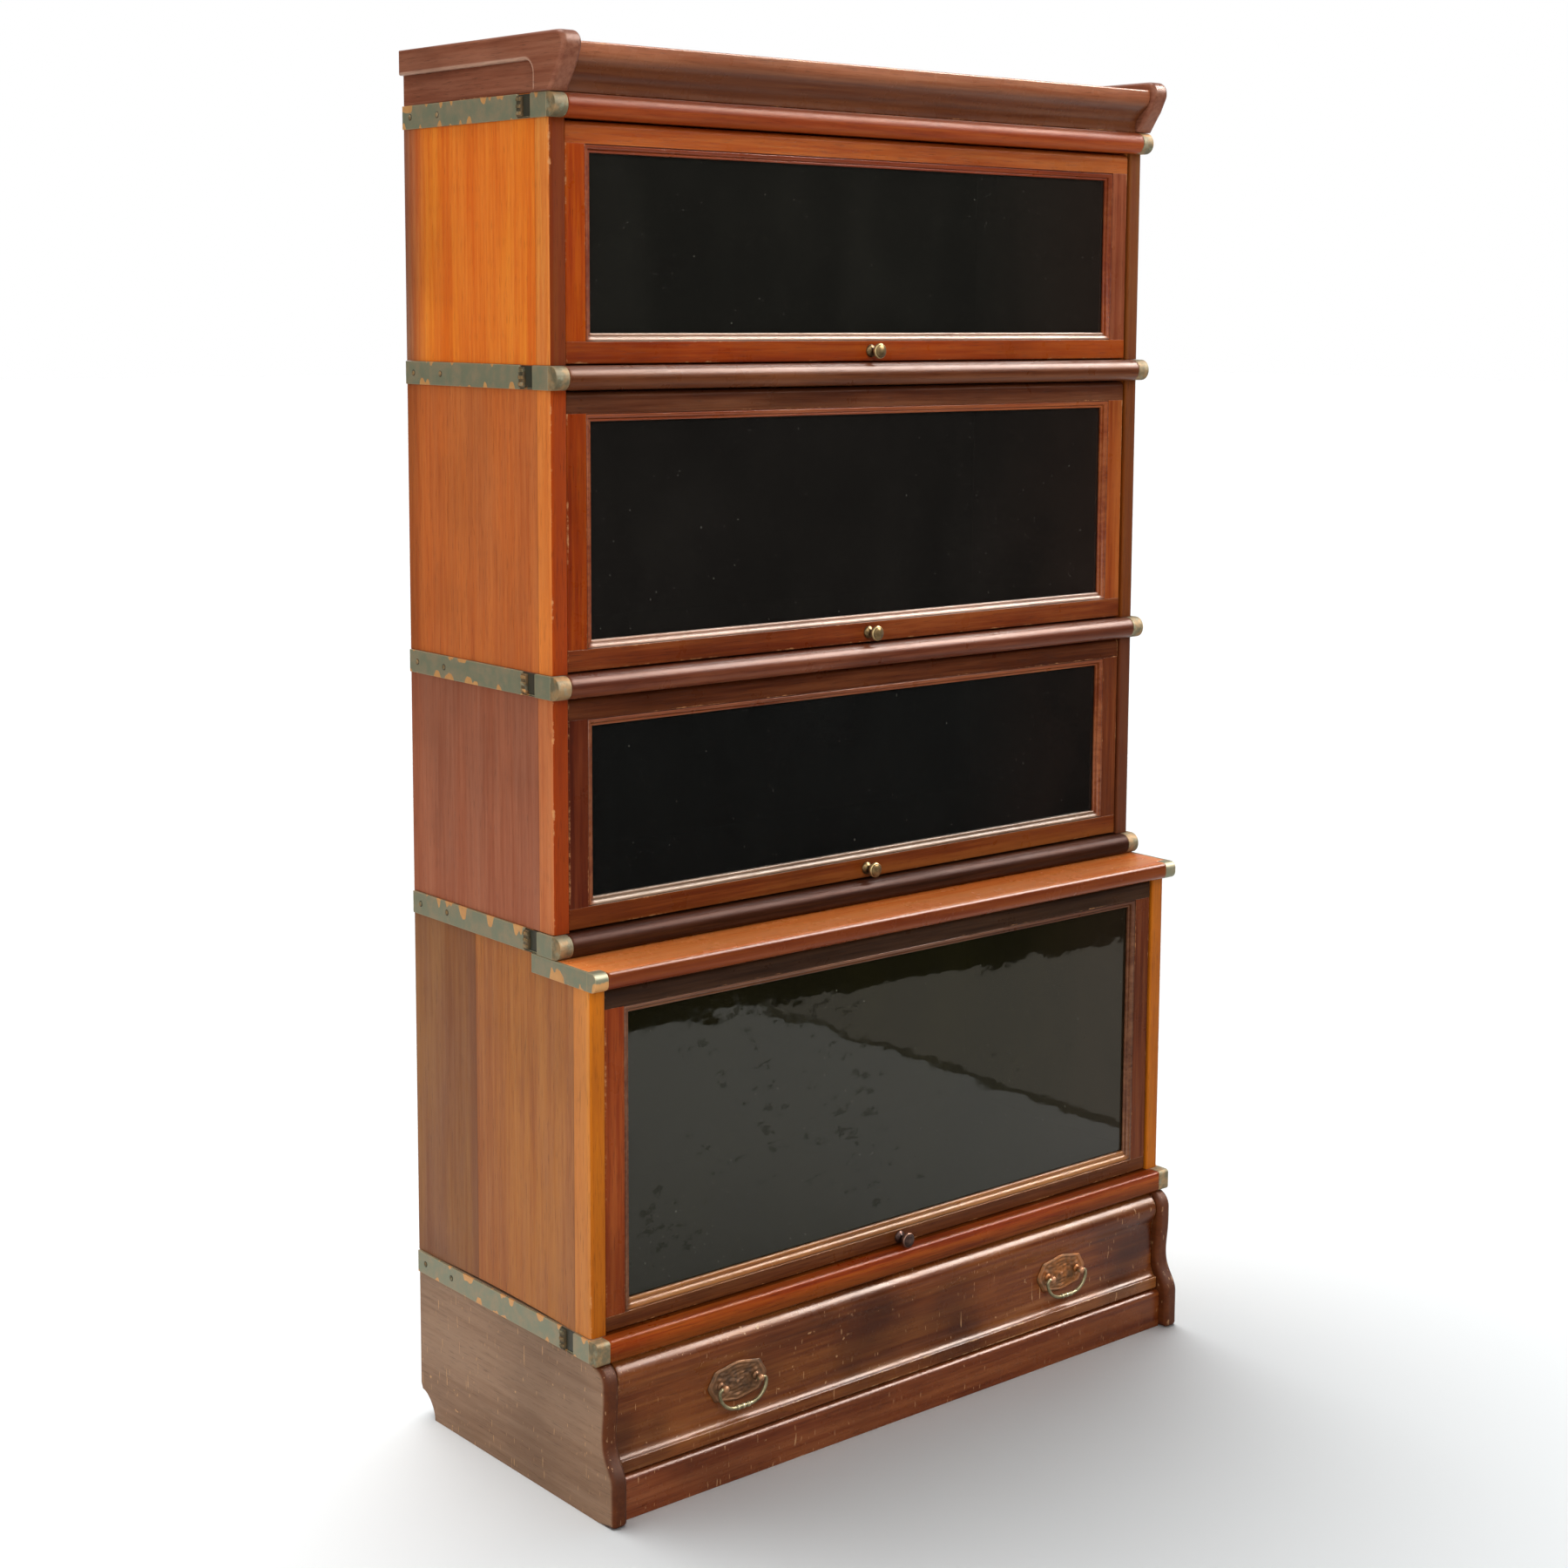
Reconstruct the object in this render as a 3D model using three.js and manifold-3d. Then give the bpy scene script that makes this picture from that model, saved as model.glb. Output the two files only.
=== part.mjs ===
// A sectional bookcase: four glass-fronted book sections stacked on a drawer base, under a cornice.
// Millimetres. +Z is up, the front faces -Y, and +X is to the right seen from the front.
// The origin is on the floor, in the middle of the case's width and depth.
import * as THREE from "three";
import { mergeVertices, toCreasedNormals } from "three/addons/utils/BufferGeometryUtils.js";
import Module from "manifold-3d";

const wasm = await Module();
wasm.setup();

// Case sizes
const caseWidth = 858; // over the wooden ends
const endThickness = 20;
const upperDepth = 274;
const lowerDepth = 336;
const shortHeight = 270;
const tallHeight = 314;
const deepHeight = 414;
const baseHeight = 193.5;
const corniceHeight = 58.5;

// Fits between pieces
const seatGap = 0.3; // between pieces that bear on each other
const runningGap = 1.5; // round a door or the drawer
const stopGap = 2; // left when a door or the drawer is pushed right in
const overrun = 5; // how far a cutter passes the face that it cuts
const lap = 0.6; // how far the glued parts of one piece run into each other
const weldDistance = 0.001; // corners closer than this are one corner

// Ends, backs and shelves
const frontArris = 5;
const innerArris = 2;
const backThickness = 8;
const backRebate = 8;
const shelfThickness = 16;
const shelfLift = 4;
const shelfHousing = 6;
const shelfSetback = 2; // behind the closed door
const footRelief = 4; // the deep section's ends bear on their corners only
const footReliefInset = 40;

// Front nosings and the metal bands round the joints
const nosingHeight = 24.7;
const nosingProjection = 16;
const nosingTongue = 28;
const nosingFlat = 0.2; // left between the rounds of its front edge
const baseNosingRound = 4;
const bandThickness = 2.7;
const bandRearInset = 2;
const capWidth = 16.7;
const hookSetback = 28;
const hookSlotWidth = 14;
const hookSlotDepth = 1.8;
const hookBarWidth = 9;
const hookBarProud = 1.2;
const hookBarInset = 2;
const hookRidges = 3;
const hookRidgeProud = 0.6;

// Step board of the deep section
const stepThickness = 20.3;
const stepOverlap = 38; // how far it runs back under the section above
const stepRound = 8;

// Doors
const doorSetback = 3;
const doorThickness = 20;
const stileWidth = 33;
const railWidth = 31;
const deepBottomRail = 24.5;
const doorArris = 1.5;
const doorTopRound = 6;
const axisDrop = 12; // the pivot's distance below the top edge
const beadWidth = 8.5;
const beadDepth = 8;
const beadQuirk = 1.2;
const beadFillet = 1.8;
const glassThickness = 3;
const glassGroove = 7;
const retainerSlope = 4;
const beadSteps = 4;

// Pivot rods and the grooves that their ends run in
const rodRadius = 3;
const grooveDepth = 8;
const rodSides = 16;

// Door knobs
const knobRadius = 8.5;
const knobLength = 19;
const knobClearance = 1; // over the nosing below
const knobSides = 14;
const knobOutlineShares = [
  [0, 0],
  [0.78, 0],
  [0.84, 0.05],
  [0.76, 0.13],
  [0.4, 0.2],
  [0.36, 0.4],
  [0.54, 0.46],
  [0.54, 0.53],
  [0.4, 0.58],
  [0.72, 0.63],
  [0.98, 0.73],
  [1, 0.82],
  [0.86, 0.92],
  [0.5, 0.98],
  [0, 1],
];

// Drawer base
const footProud = 38; // of the deep section's front
const waistProud = 21;
const bellyProud = 24;
const shoulderRound = 20;
const footHeight = 44;
const waistShare = 0.545; // of the way from the foot up to the belly
const kneeShares = [0.37, 0.5]; // of the rise to the waist, where its curve pulls
const bellyDrop = 36.5; // of the belly's fullest place below the shoulder
const baseEdgeRound = 6;
const rearCove = 29;
const rearCoveEase = 7;
const toeHeight = 46;
const toeThickness = 20;
const toeSetback = 12;
const toeRound = 6;
const runnerWidth = 12;
const runnerHeight = 20;
const runnerTop = 54;

// Drawer
const frontSetback = 8.5; // behind the shaped edges of the base's ends
const frontThickness = 18;
const filletSetback = 16; // of the drawer front's foot, behind the base's feet
const frontFilletHeight = 14;
const frontRaise = 2.5; // over the toe rail
const frontBelly = 3; // of the shoulder, in front of the flat field
const frontRound = 16; // of the shoulder
const drawerWall = 10;
const drawerBottom = 5;
const drawerBottomLift = 7;
const drawerSideDrop = 17; // of the box's sides below the front's top edge
const drawerRearGap = 12;

// Drawer handles
const handleInset = 160.5; // of a handle's middle from the drawer front's end
const handleRiseShare = 0.4055; // of the field over the drawer front's fillet, up to the posts
const plateWidth = 80;
const plateHeight = 44;
const plateThickness = 2.4;
const plateBulge = 1.8;
const plateBulgeShare = 0.62;
const plateEdge = 0.8;
const plateMargin = 1.5; // of the flat field round the plate
const plateScallopShare = 0.07;
const plateCornerShare = 0.78;
const plateScallops = 8;
const plateSteps = 32;
const postSpread = 48;
const postRadius = 3.6;
const postReach = 8.5;
const postSides = 12;
const bailRadius = 2.1;
const bailSides = 8;
const bailSteps = 30;
const bailDrop = 25;
const bailFlare = 9; // how strongly the arms bow outwards below the posts
const bailTuckShare = 0.25; // of the flare that is left where the arms turn in
const bailGripRadius = 3.3;
const bailGripLength = 17;
const bailFit = 0.35;
const gripOutlineShares = [
  [0, 0],
  [0.66, 0],
  [0.96, 0.07],
  [0.66, 0.15],
  [0.86, 0.3],
  [1, 0.5],
  [0.86, 0.7],
  [0.66, 0.85],
  [0.96, 0.93],
  [0.66, 1],
  [0, 1],
];

// Cornice
const corniceProud = 6; // of the ends, beyond the case
const corniceEndThickness = 24;
const corniceEdgeRound = 5;
const earFootProud = 9; // of the upper sections' front
const earBrowProud = 29.5;
const earBrowHeight = 29;
const earNoseProud = 34;
const earNoseHeight = 46;
const earTopProud = 24;
const earRound = 9;
const sidePanelHeight = 32;
const sidePanelInset = 19.3; // behind the upper sections' front
const sidePanelRound = 14;
const sidePanelLip = 3; // rounding of the proud band's lower edge
const mouldingDrop = 10; // of the top board below the ears
const mouldingFootProud = 5; // of the upper sections' front
const mouldingNoseProud = 28;
const mouldingFillet = 5;
const mouldingTopFillet = 7;
const mouldingThickness = 24;
const corniceBoard = 12;
const corniceRail = 16;

// Facets of curves
const cornerSteps = 4;
const curveSteps = 8;
const roundSteps = 3;
const creaseAngle = Math.PI / 5;

// Places worked out from the sizes
const caseHalf = caseWidth / 2;
const innerHalf = caseHalf - endThickness;
const bandInner = caseHalf + seatGap;
const bandOuter = bandInner + bandThickness;
const capInner = bandOuter - capWidth;
const doorHalf = innerHalf - runningGap;
const sightHalf = doorHalf - stileWidth;
const stepBack = upperDepth - stepOverlap;
const bailForward = seatGap + plateThickness + postReach;
const nosingRound = (nosingHeight - seatGap - nosingFlat) / 2;
const footFront = lowerDepth + footProud;
const waistFront = lowerDepth + waistProud;
const bellyFront = lowerDepth + bellyProud;
const shoulderHeight = baseHeight - nosingHeight - seatGap;
const bellyHeight = shoulderHeight - bellyDrop;
const waistHeight = footHeight + (bellyHeight - footHeight) * waistShare;
const earFoot = upperDepth + earFootProud;
const earBrow = upperDepth + earBrowProud;
const earNose = upperDepth + earNoseProud;
const earTop = upperDepth + earTopProud;
const sidePanelFront = upperDepth - sidePanelInset;
const mouldingFoot = upperDepth + mouldingFootProud;
const mouldingNose = upperDepth + mouldingNoseProud;
const sides = [
  ["left", -1],
  ["right", 1],
];

// The deep section stands on the base, and the short, tall and short ones on it.
const sections = [
  { number: 4, height: deepHeight, depth: lowerDepth, bottomRail: deepBottomRail, stepped: true },
  { number: 3, height: shortHeight, depth: upperDepth, bottomRail: railWidth, stepped: false },
  { number: 2, height: tallHeight, depth: upperDepth, bottomRail: railWidth, stepped: false },
  { number: 1, height: shortHeight, depth: upperDepth, bottomRail: railWidth, stepped: false },
];

// Finishes
const finishes = {
  orangeMahogany: { color: 0xb5622a, roughness: 0.42, metalness: 0 },
  redMahogany: { color: 0x7c3a1d, roughness: 0.36, metalness: 0 },
  darkMahogany: { color: 0x5d2c1a, roughness: 0.33, metalness: 0 },
  plainWood: { color: 0x8a5c3c, roughness: 0.6, metalness: 0 },
  baseBrown: { color: 0x7a5643, roughness: 0.55, metalness: 0 },
  patina: { color: 0x5f6b57, roughness: 0.5, metalness: 0.75 },
  brass: { color: 0x8f7a4b, roughness: 0.4, metalness: 0.85 },
  copper: { color: 0x8a5530, roughness: 0.42, metalness: 0.8 },
  steel: { color: 0x77746e, roughness: 0.35, metalness: 0.9 },
};
const finish = (name) => new THREE.MeshStandardMaterial(finishes[name]);
const paneFinish = () =>
  new THREE.MeshStandardMaterial({
    color: 0x1c1d1b,
    roughness: 0.06,
    metalness: 0,
    transparent: true,
    opacity: 0.75,
  });

// A closed surface as a solid that can be joined and cut.
function solidOf(geometry) {
  const bare = geometry.index ? geometry.toNonIndexed() : geometry;
  const placed = new THREE.BufferGeometry().setAttribute("position", bare.getAttribute("position"));
  const merged = mergeVertices(placed, weldDistance);
  return new wasm.Manifold(
    new wasm.Mesh({
      numProp: 3,
      vertProperties: merged.getAttribute("position").array,
      triVerts: new Uint32Array(merged.index.array),
    }),
  );
}

// A finished solid as a named mesh.
function piece(name, solid, material) {
  const made = solid.getMesh();
  const geometry = new THREE.BufferGeometry();
  geometry.setAttribute("position", new THREE.BufferAttribute(made.vertProperties, 3));
  geometry.setIndex(new THREE.BufferAttribute(made.triVerts, 1));
  const mesh = new THREE.Mesh(toCreasedNormals(geometry, creaseAngle), material);
  mesh.name = name;
  return mesh;
}

// Which way an outline's own two directions and its run lie in the case
const alongX = new THREE.Matrix4().makeBasis(
  new THREE.Vector3(0, 1, 0),
  new THREE.Vector3(0, 0, 1),
  new THREE.Vector3(1, 0, 0),
);
const alongZ = new THREE.Matrix4();
const towardsFront = new THREE.Matrix4().makeBasis(
  new THREE.Vector3(1, 0, 0),
  new THREE.Vector3(0, 0, 1),
  new THREE.Vector3(0, -1, 0),
);

// An outline carried straight between two places. Its end faces are eased over if round is given:
// a convex edge for a piece, or, where flared is true, the mouth of a cutter that leaves such an edge.
function carried(points, direction, ends, round = 0, flared = false, facets = roundSteps) {
  const from = Math.min(...ends);
  const to = Math.max(...ends);
  const outline = points.filter((point, index) => point.distanceTo(points.at(index - 1)) > weldDistance);
  const geometry = new THREE.ExtrudeGeometry(new THREE.Shape(outline), {
    depth: to - from - 2 * round,
    bevelEnabled: round > 0,
    bevelThickness: round,
    bevelSize: flared ? -round : round,
    bevelOffset: flared ? round : -round,
    bevelSegments: facets,
  });
  geometry.translate(0, 0, from + round);
  geometry.applyMatrix4(direction);
  return solidOf(geometry);
}

// A rectangular block between pairs of places along x, y and z.
function block(alongWidth, alongDepth, alongHeight) {
  const spans = [alongWidth, alongDepth, alongHeight];
  const low = new THREE.Vector3(...spans.map((span) => Math.min(...span)));
  const high = new THREE.Vector3(...spans.map((span) => Math.max(...span)));
  const size = high.clone().sub(low);
  const geometry = new THREE.BoxGeometry(size.x, size.y, size.z);
  const middle = low.add(high).multiplyScalar(1 / 2);
  geometry.translate(middle.x, middle.y, middle.z);
  return solidOf(geometry);
}

// Corners given as [across, up, radius], with each radius drawn as a true arc.
function rounded(corners) {
  return corners.flatMap(([across, up, radius = 0], index) => {
    const here = new THREE.Vector2(across, up);
    if (!radius) return [here];
    const [backAcross, backUp] = corners.at(index - 1);
    const [aheadAcross, aheadUp] = corners[(index + 1) % corners.length];
    const back = new THREE.Vector2(backAcross, backUp).sub(here).normalize();
    const ahead = new THREE.Vector2(aheadAcross, aheadUp).sub(here).normalize();
    const halfAngle = Math.acos(back.dot(ahead)) / 2;
    const towardsCentre = back.clone().add(ahead).normalize();
    const centre = here.clone().addScaledVector(towardsCentre, radius / Math.sin(halfAngle));
    const start = here.clone().addScaledVector(back, radius / Math.tan(halfAngle)).sub(centre);
    const finishPoint = here.clone().addScaledVector(ahead, radius / Math.tan(halfAngle)).sub(centre);
    const sweep = Math.atan2(start.cross(finishPoint), start.dot(finishPoint));
    const turn = (step) => start.clone().rotateAround(new THREE.Vector2(), (sweep * step) / cornerSteps);
    return Array.from({ length: cornerSteps + 1 }, (_, step) => turn(step).add(centre));
  });
}

// Points of a cubic curve through its two ends, without the first one.
function curve(start, firstPull, secondPull, end) {
  const controls = [start, firstPull, secondPull, end].map((place) => new THREE.Vector2(...place));
  return new THREE.CubicBezierCurve(...controls).getPoints(curveSteps).slice(1);
}

// A rod lying along x.
function rodAlongX(radius, sides, ends) {
  const length = Math.abs(ends[1] - ends[0]);
  const geometry = new THREE.CylinderGeometry(radius, radius, length, sides);
  geometry.rotateZ(Math.PI / 2);
  geometry.translate((ends[0] + ends[1]) / 2, 0, 0);
  return solidOf(geometry);
}

// Heights and distances inside one section, from its own foot and its own back
function layoutOf(section) {
  const bandLow = section.height - nosingHeight;
  const nosingLow = section.stepped ? bandLow - stepThickness : bandLow;
  const doorHigh = nosingLow - runningGap;
  const axisHeight = doorHigh - axisDrop;
  const axisForward = section.depth - doorSetback - doorThickness / 2;
  const railMiddle = runningGap + (section.bottomRail - beadWidth) / 2;
  const knobHeight = Math.max(railMiddle, knobRadius + knobClearance);
  const nosingReach = section.depth + nosingProjection - axisForward;
  const knobRoom = axisHeight - knobHeight - knobRadius - nosingReach;
  const rearRoom = axisForward - axisDrop - backThickness;
  return {
    bandLow,
    nosingLow,
    doorHigh,
    axisHeight,
    axisForward,
    knobHeight,
    recede: Math.min(knobRoom, rearRoom) - stopGap,
    shelfFront: axisForward - doorThickness / 2 - shelfSetback,
  };
}

// A section's end: a board with eased front edges, rebated for the back, housed for the shelf
// and grooved inside for the end of the door's pivot rod.
function sectionEnd(section, side) {
  const place = layoutOf(section);
  const inner = side * innerHalf;
  const outer = side * caseHalf;
  const rebate = side * (innerHalf + backRebate);
  const rebateFront = -(backThickness + seatGap);
  const board = carried(
    rounded([
      [outer, 0],
      [outer, -section.depth, frontArris],
      [inner, -section.depth, innerArris],
      [inner, rebateFront],
      [rebate, rebateFront],
      [rebate, 0],
    ]),
    alongZ,
    [seatGap, section.height],
  );
  const housing = block(
    [inner - side * overrun, inner + side * (shelfHousing + seatGap)],
    [overrun, -(place.shelfFront + seatGap)],
    [shelfLift - seatGap, shelfLift + shelfThickness + seatGap],
  );
  const slotHalf = rodRadius + seatGap;
  const grooveFront = -(place.axisForward + slotHalf);
  const grooveRear = -(place.axisForward - place.recede - slotHalf - seatGap);
  const groove = carried(
    rounded([
      [grooveFront, place.axisHeight - slotHalf, slotHalf],
      [grooveFront, place.axisHeight + slotHalf, slotHalf],
      [grooveRear, place.axisHeight + slotHalf, slotHalf],
      [grooveRear, place.axisHeight - slotHalf, slotHalf],
    ]),
    alongX,
    [inner - side * overrun, inner + side * grooveDepth],
  );
  const cut = board.subtract(housing).subtract(groove);
  return section.stepped ? steppedEnd(section, cut, outer, inner, side) : cut;
}

// The deep section's end is lower under the step board, and is eased along its foot.
function steppedEnd(section, board, outer, inner, side) {
  const place = layoutOf(section);
  const across = [outer + side * overrun, inner - side * overrun];
  const step = block(
    across,
    [-stepBack, -(section.depth + overrun)],
    [place.nosingLow, section.height + overrun],
  );
  const low = seatGap - overrun;
  const high = seatGap + footRelief;
  const arch = [
    new THREE.Vector2(-footReliefInset, low),
    new THREE.Vector2(-footReliefInset, seatGap),
    ...curve(
      [-footReliefInset, seatGap],
      [-section.depth / 3, high],
      [-(section.depth * 2) / 3, high],
      [-(section.depth - footReliefInset), seatGap],
    ),
    new THREE.Vector2(-(section.depth - footReliefInset), low),
  ];
  return board.subtract(step).subtract(carried(arch, alongX, across));
}

// A shelf is the section's bottom board, housed in its ends.
function shelf(section) {
  const place = layoutOf(section);
  const reach = innerHalf + shelfHousing;
  return block(
    [-reach, reach],
    [-(backThickness + seatGap), -place.shelfFront],
    [shelfLift, shelfLift + shelfThickness],
  );
}

// A back panel sits in the rebates of the two ends.
function backPanel(low, high) {
  const reach = innerHalf + backRebate - seatGap;
  return block([-reach, reach], [0, -backThickness], [low, high]);
}

// Outline of a nosing or its metal cap, seen from the end
function nosingOutline(depth, low, high, radius) {
  const rear = -(depth + seatGap);
  const front = -(depth + nosingProjection);
  return rounded([
    [rear, low],
    [rear, high],
    [front, high, radius],
    [front, low, radius],
  ]);
}

// A nosing: a rounded rail between the metal caps, with a tongue behind it that closes the joint.
function nosing(depth, low, high, radius, tongueHalf) {
  const half = capInner - seatGap;
  const rail = carried(nosingOutline(depth, low, high, radius), alongX, [-half, half]);
  const rear = -(depth - nosingTongue);
  const tongue = block([-tongueHalf, tongueHalf], [rear, -depth], [low, high]);
  const linkHalf = Math.min(half, tongueHalf);
  const link = block([-linkHalf, linkHalf], [rear, -(depth + lap)], [low, high]);
  return rail.add(tongue).add(link);
}

// The step board with its own rounded front, and the joint's nosing standing on it
function steppedNosing(section) {
  const place = layoutOf(section);
  const half = capInner - seatGap;
  const low = place.nosingLow + seatGap;
  const edge = nosingOutline(section.depth, low, place.bandLow, stepRound);
  const board = block(
    [-caseHalf, caseHalf],
    [-(stepBack + seatGap), -section.depth],
    [low, place.bandLow],
  );
  const lip = block(
    [-half, half],
    [-(section.depth - nosingTongue), -(section.depth + lap)],
    [low, place.bandLow],
  );
  const upper = nosing(upperDepth, place.bandLow, section.height, nosingRound, caseHalf);
  return board.add(lip).add(carried(edge, alongX, [-half, half])).add(upper);
}

// A metal band along one side: a flat strip, a cap round the nosing's end, and near the front the slot
// and ridged bar where the unit above hooks on.
function band(outline, caps, hookDepth, low, high, side) {
  const strip = carried(outline, alongX, [side * bandInner, side * bandOuter]);
  const slotFront = hookDepth - hookSetback;
  const slotRear = slotFront - hookSlotWidth;
  const slot = block(
    [side * (bandOuter - hookSlotDepth), side * (bandOuter + overrun)],
    [-slotFront, -slotRear],
    [low + hookBarInset, high + overrun],
  );
  const barRear = slotRear - hookBarWidth;
  const barHigh = high - hookBarInset;
  const barLow = low + hookBarInset;
  const bar = block(
    [side * (bandOuter - hookSlotDepth), side * (bandOuter + hookBarProud)],
    [-slotRear, -barRear],
    [barLow, barHigh],
  );
  const pitch = (barHigh - barLow) / hookRidges;
  const ridges = Array.from({ length: hookRidges }, (_, index) =>
    block(
      [side * bandOuter, side * (bandOuter + hookBarProud + hookRidgeProud)],
      [-slotRear, -barRear],
      [barLow + pitch * (index + 1 / 4), barLow + pitch * (index + 3 / 4)],
    ),
  );
  const capped = caps.reduce((joined, cap) => joined.add(cap), strip);
  return ridges.reduce((joined, ridge) => joined.add(ridge), capped.subtract(slot).add(bar));
}

// A cap is a short length of the nosing's own outline, in metal.
function nosingCap(depth, low, high, radius, side) {
  return carried(nosingOutline(depth, low, high, radius), alongX, [side * capInner, side * bandOuter]);
}

// The band round a straight joint
function straightBand(depth, low, high, radius, side) {
  const front = -(depth + lap);
  const outline = rounded([
    [-bandRearInset, low],
    [-bandRearInset, high],
    [front, high],
    [front, low],
  ]);
  return band(outline, [nosingCap(depth, low, high, radius, side)], depth, low, high, side);
}

// The deep section's band drops to the step board and runs on along it.
function steppedBand(section, side) {
  const { bandLow, nosingLow } = layoutOf(section);
  const high = section.height;
  const upperFront = -(upperDepth + lap);
  const lowerFront = -(section.depth + lap);
  const outline = rounded([
    [-bandRearInset, bandLow],
    [-bandRearInset, high],
    [upperFront, high],
    [upperFront, bandLow],
    [lowerFront, bandLow],
    [lowerFront, nosingLow],
    [-stepBack, nosingLow],
    [-stepBack, bandLow],
  ]);
  const caps = [
    nosingCap(upperDepth, bandLow + seatGap, high, nosingRound, side),
    nosingCap(section.depth, nosingLow, bandLow, stepRound, side),
  ];
  return band(outline, caps, upperDepth, bandLow, high, side);
}

// A frame mitred at four corners: each ring is a rectangle at one depth, and the rings follow the
// frame's moulded section round from its outer edge to the glass and back.
function mitred(rings) {
  const corners = rings.flatMap(({ half, low, high, depth }) => [
    [-half, depth, low],
    [half, depth, low],
    [half, depth, high],
    [-half, depth, high],
  ]);
  const faces = rings.flatMap((_, ring) => {
    const here = ring * 4;
    const next = ((ring + 1) % rings.length) * 4;
    return [0, 1, 2, 3].flatMap((corner) => {
      const after = (corner + 1) % 4;
      return [here + corner, here + after, next + after, here + corner, next + after, next + corner];
    });
  });
  const geometry = new THREE.BufferGeometry();
  geometry.setAttribute("position", new THREE.Float32BufferAttribute(corners.flat(), 3));
  geometry.setIndex(faces);
  return solidOf(geometry);
}

// Edges of a door and of the glass seen through it, measured from the pivot
function doorEdges(section) {
  const place = layoutOf(section);
  const low = runningGap - place.axisHeight;
  return {
    low,
    high: axisDrop,
    sightLow: low + section.bottomRail,
    sightHigh: axisDrop - railWidth,
    face: -doorThickness / 2,
    rear: doorThickness / 2,
  };
}

// A door frame: mitred stiles and rails with an ovolo bead round the glass, a groove that holds the
// glass, a round top front edge, and a slot along the top rail for the pivot rod.
function doorFrame(section) {
  const edges = doorEdges(section);
  const outside = (inset, depth) => ({
    half: doorHalf - inset,
    low: edges.low + inset,
    high: edges.high - inset,
    depth,
  });
  const inside = (grow, depth) => ({
    half: sightHalf + grow,
    low: edges.sightLow - grow,
    high: edges.sightHigh + grow,
    depth,
  });
  const glassFront = edges.face + beadDepth;
  const glassRear = glassFront + glassThickness + seatGap * 2;
  const beadStart = beadWidth - beadQuirk;
  const beadFall = beadDepth - beadQuirk - beadFillet;
  const ovolo = Array.from({ length: beadSteps + 1 }, (_, step) => {
    const turn = (Math.PI / 2) * (step / beadSteps);
    const grow = beadStart - (beadStart - beadFillet) * Math.sin(turn);
    return inside(grow, edges.face + beadQuirk + beadFall * (1 - Math.cos(turn)));
  });
  const frame = mitred([
    outside(0, edges.face + doorArris),
    outside(doorArris, edges.face),
    inside(beadWidth, edges.face),
    inside(beadWidth, edges.face + beadQuirk),
    ...ovolo,
    inside(0, glassFront - beadFillet),
    inside(0, glassFront),
    inside(glassGroove, glassFront),
    inside(glassGroove, glassRear),
    inside(0, glassRear),
    inside(0, edges.rear - retainerSlope),
    inside(retainerSlope, edges.rear),
    outside(doorArris, edges.rear),
    outside(0, edges.rear - doorArris),
  ]);
  const across = [-doorHalf - overrun, doorHalf + overrun];
  const keep = rounded([
    [edges.face, edges.high - doorTopRound * 2],
    [edges.face, edges.high, doorTopRound],
    [edges.face + doorTopRound * 2, edges.high],
    [edges.face + doorTopRound * 2, edges.high + overrun],
    [edges.face - overrun, edges.high + overrun],
    [edges.face - overrun, edges.high - doorTopRound * 2],
  ]);
  const slotHalf = rodRadius + seatGap;
  const slot = rounded([
    [-slotHalf, -slotHalf, slotHalf],
    [-slotHalf, slotHalf, slotHalf],
    [edges.rear + overrun, slotHalf],
    [edges.rear + overrun, -slotHalf],
  ]);
  return frame.subtract(carried(keep, alongX, across)).subtract(carried(slot, alongX, across));
}

// The pane stands in the frame's groove with a little room all round.
function pane(section) {
  const edges = doorEdges(section);
  const reach = glassGroove - seatGap;
  const front = edges.face + beadDepth + seatGap;
  return block(
    [-(sightHalf + reach), sightHalf + reach],
    [front, front + glassThickness],
    [edges.sightLow - reach, edges.sightHigh + reach],
  );
}

// A turned knob pointing to the front, standing on the plane y = 0
function knob() {
  const outline = knobOutlineShares.map(
    ([radiusShare, lengthShare]) => new THREE.Vector2(radiusShare * knobRadius, lengthShare * knobLength),
  );
  const geometry = new THREE.LatheGeometry(outline, knobSides);
  geometry.rotateX(Math.PI);
  return solidOf(orientedOut(geometry));
}

// A surface turned inside out, if it isn't facing out already
function orientedOut(geometry) {
  if (solidOf(geometry).volume() > 0) return geometry;
  const turned = geometry.clone();
  const index = Array.from(turned.index.array);
  for (let corner = 0; corner < index.length; corner += 3) {
    [index[corner], index[corner + 1]] = [index[corner + 1], index[corner]];
  }
  turned.setIndex(index);
  return turned;
}

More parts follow.
